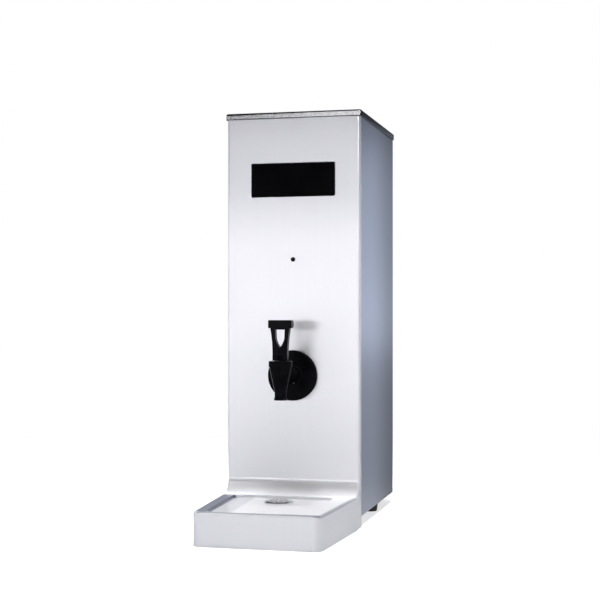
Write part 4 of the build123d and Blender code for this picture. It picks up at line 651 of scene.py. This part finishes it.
def latheTree():
    # The source edges as a profile, turned round an axis through the place
    tree = Tree("turnings", {"Place": "Vector", "Direction": "Vector", "Steps": "Int"})
    given = tree.given
    profile = tree.add("GeometryNodeMeshToCurve", None, {"Mesh": given["Source"]})
    turn = tree.facing("Z", given["Direction"])
    return tree.finish(tree.moved(tree.turned(profile, given["Steps"]),
                                  {"Translation": given["Place"], "Rotation": turn}))


def ribTree():
    # Bars set round a circle, along the direction from the source point
    tree = Tree("ribs", {"Direction": "Vector", "Count": "Int", "Radius": "Float",
                         "Rib Width": "Float", "Rib Height": "Float", "Length": "Float"})
    given = tree.given
    ring = tree.add("GeometryNodeMeshCircle", None,
                    {"Vertices": given["Count"], "Radius": given["Radius"]})
    outward = tree.facing("X", tree.add("GeometryNodeInputPosition"))
    bar = tree.moved(tree.cylinder(glandRibs["sides"], 0.5, given["Length"]),
                     {"Scale": tree.vector(given["Rib Height"] * 2, given["Rib Width"], 1.0)})
    bars = tree.add("GeometryNodeInstanceOnPoints", None,
                    {"Points": ring, "Instance": bar, "Rotation": outward})
    return tree.finish(tree.aimed(tree.raised(bars, given["Length"] * 0.5)))


def makeGlandCap():
    low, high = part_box("gland_cap")
    length = high.y - low.y
    place = ((low.x + high.x) / 2, low.y, (low.z + high.z) / 2)
    bore, inner, outer = glandCap["bore"], glandCap["inner"], glandCap["outer"]
    edge, steps, seat = glandCap["edge"], glandCap["edgeSteps"], length - glandCap["end"]
    turns = [math.pi / 2 * step / steps for step in range(steps + 1)]
    rounding = [(outer - edge + edge * math.cos(turn), length - edge + edge * math.sin(turn))
                for turn in turns]
    profile = [(inner, 0.0), (outer, 0.0), *rounding, (bore, length), (bore, seat), (inner, seat)]
    points = [(x, y, 0.0) for x, y in profile]
    edges = [(first, (first + 1) % len(points)) for first in range(len(points))]
    body = grown(latheTree(), (points, edges), {**glandCap, "Place": place}, "fittingBlack")
    ribs = grown(ribTree(), [place], glandRibs, "fittingBlack")
    makePiece("glandCap", [body, ribs], "casing", "fittingBlack", "fitting_plastic", "gland_cap")


leverWeb = {"halfWidth": 0.00345, "halfDepth": 0.0045, "top": 0.0058, "hollow": 0.00475,
            "steps": 16}


def makeLeverWeb():
    # Closes the lever's slot above the stem's tip, which turns in its hollow
    low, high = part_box("lever_pin")
    pivot = (low + high) / 2
    depth, hollow, steps = leverWeb["halfDepth"], leverWeb["hollow"], leverWeb["steps"]
    start = math.acos(depth / hollow)
    turns = [start + (math.pi - 2 * start) * step / steps for step in range(steps + 1)]
    profile = [(hollow * math.cos(turn), hollow * math.sin(turn)) for turn in turns]
    profile += [(-depth, leverWeb["top"]), (depth, leverWeb["top"])]
    count = len(profile)
    points = [(side * leverWeb["halfWidth"] + pivot.x, pivot.y + y, pivot.z + z)
              for side in (-1, 1) for y, z in profile]
    faces = [tuple(range(count)), tuple(range(count, 2 * count))]
    faces += [(first, (first + 1) % count, (first + 1) % count + count, first + count)
              for first in range(count)]
    mesh = bpy.data.meshes.new("web")
    mesh.from_pydata(points, [], faces)
    makePiece("leverWeb", [mesh], "lever", "faucetBlack", "faucet_black")


makeScrews()
makeRims()
makeCoils()
makeGlandCap()
makeLeverWeb()
print("pieces made")


# Stage: floor, world and lamps
studio = {
    "floorRadius": 9.0,
    "floorSides": 96,
    "floorPaint": (0.85, 0.85, 0.86),
    "whiteFloor": 1.0,  # brightness of the floor in the picture, before its shading
    "shadow": 0.35,  # how much of the real shading the white floor keeps
    "shadowReach": (0.35, 1.3),  # metres from the middle where the floor's shading fades out
    # the floor that the object mirrors, in front of it and behind it, and where one meets the other
    "frontFloor": 0.45,
    "backFloor": 0.32,
    "frontHue": (0.94, 0.945, 1.0),
    "backHue": (0.84, 0.89, 1.0),
    "floorTurn": (0.0, 0.6),
    # the sky that the object mirrors: for heights from the horizon at 0.5 to overhead at 1, its
    # brightness in front of the object and behind it, and where one meets the other
    "frontSky": ((0.49, 0.07), (0.503, 0.07), (0.506, 1.0), (0.519, 1.0), (0.523, 0.006),
                 (0.56, 0.004), (0.6, 0.005), (0.66, 0.01), (1.0, 0.015)),
    "backSky": ((0.49, 0.12), (0.51, 0.1), (0.515, 0.085), (0.535, 0.08), (0.552, 0.072),
                (0.564, 0.07), (0.571, 0.0), (1.0, 0.01)),
    "frontTint": (0.975, 0.965, 1.0),
    "backTint": (0.78, 0.85, 1.0),
    "skyTurn": (-0.4, 0.4),
    "glowStrength": 7.3,
    # the bright front strip: the way it lies, how near to that way it fades in, and its surround
    "stripAim": (-0.24, -0.97),
    "stripSide": (0.3, 0.75),
    "stripSurround": (0.03, 0.03, 0.03),
    # plain light from all sides
    "softHue": (0.97, 0.98, 1.0),
    "softFill": 0.53,
}


def makeFloor(values):
    mesh = bpy.data.meshes.new("floor")
    shape = bmesh.new()
    bmesh.ops.create_circle(shape, cap_ends=True, segments=values["floorSides"],
                            radius=values["floorRadius"])
    shape.to_mesh(mesh)
    shape.free()
    floor = bpy.data.objects.new("floor", mesh)
    bpy.context.scene.collection.objects.link(floor)
    material, shader = newMaterial("paleFloor")
    cameraRay, glossyRay = shader.rays()
    back = shader.axes()[1].between(*values["floorTurn"])
    level = values["frontFloor"] + (values["backFloor"] - values["frontFloor"]) * back
    here = shader.add("ShaderNodeTexCoord", None, None, "Object")
    reach = shader.add("ShaderNodeVectorMath", {"operation": "LENGTH"}, {0: here}, "Value")
    kept = values["shadow"] * (1 - reach.between(*values["shadowReach"]))
    paint = shader.add("ShaderNodeBsdfDiffuse", None, {"Color": colour(*values["floorPaint"])})
    plain = shader.add("ShaderNodeEmission", None,
                       {"Color": white, "Strength": values["whiteFloor"]})
    hue = shader.mix(back, colour(*values["frontHue"]), colour(*values["backHue"]))
    mirrored = shader.add("ShaderNodeEmission", None, {"Color": hue, "Strength": level})
    shaded = shader.add("ShaderNodeMixShader", None,
                        {0: cameraRay * (1 - kept), 1: paint, 2: plain})
    surface = shader.add("ShaderNodeMixShader", None, {0: glossyRay, 1: shaded, 2: mirrored})
    shader.add("ShaderNodeOutputMaterial", None, {"Surface": surface})
    mesh.materials.append(material)


def makeWorld(values):
    world = bpy.data.worlds.new("studio")
    world.use_nodes = True
    bpy.context.scene.world = world
    shader = Shader(world.node_tree)
    cameraRay, glossyRay = shader.rays()
    toRight, away, up = shader.axes("Generated")
    height = up * 0.5 + 0.5  # 0 straight down, 0.5 the horizon, 1 overhead
    aimX, aimY = values["stripAim"]
    ahead = (toRight * aimX + away * aimY).between(*values["stripSide"])
    bright = shader.add("ShaderNodeValToRGB", {"stops": values["frontSky"]}, {0: height})
    front = shader.mix(ahead, colour(*values["stripSurround"]), bright)
    back = shader.add("ShaderNodeValToRGB", {"stops": values["backSky"]}, {0: height})
    behind = away.between(*values["skyTurn"])
    sky = shader.mix(behind, front, back)
    tint = shader.mix(behind, colour(*values["frontTint"]), colour(*values["backTint"]))
    glow = shader.add("ShaderNodeBackground", None,
                      {0: shader.mix(1.0, sky, tint, "MULTIPLY"), 1: values["glowStrength"]})
    soft = shader.add("ShaderNodeBackground", None,
                      {0: colour(*values["softHue"]), 1: values["softFill"]})
    plain = shader.add("ShaderNodeBackground", None, {0: white, 1: 1.0})
    unseen = shader.add("ShaderNodeMixShader", None, {0: glossyRay, 1: soft, 2: glow})
    surface = shader.add("ShaderNodeMixShader", None, {0: cameraRay, 1: unseen, 2: plain})
    shader.add("ShaderNodeOutputWorld", None, {0: surface})


lamps = {
    # place, where it points, width, height, power in watts, seen in reflections or not
    "keyLamp": ((-1.5, -2.2, 1.7), (0, 0, 0.25), 0.9, 0.9, 3.1, True),
    "lidLamp": ((-0.52, -2.9, 1.06), (0.01, -0.05, 0.55), 0.36, 0.3, 0.42, True),
    "topLamp": ((0.0, -0.14, 2.3), (0, -0.14, 0.1), 1.0, 0.3, 220.0, False),
    "rightLamp": ((1.6, -2.2, 1.2), (0, 0, 0.25), 0.3, 0.3, 8.0, True),
    "backLamp": ((-0.9, 2.4, 1.8), (0, 0.2, 0.3), 1.4, 1.0, 12.0, True),
}


def makeLamps(values):
    for name, (place, target, width, height, power, mirrored) in values.items():
        data = bpy.data.lights.new(name, "AREA")
        data.shape = "RECTANGLE"
        data.size = width
        data.size_y = height
        data.energy = power
        lamp = bpy.data.objects.new(name, data)
        lamp.location = place
        lamp.rotation_euler = (Vector(target) - Vector(place)).to_track_quat("-Z", "Y").to_euler()
        lamp.visible_camera = False
        lamp.visible_glossy = mirrored
        bpy.context.scene.collection.objects.link(lamp)


makeFloor(studio)
makeWorld(studio)
makeLamps(lamps)
print("stage made")
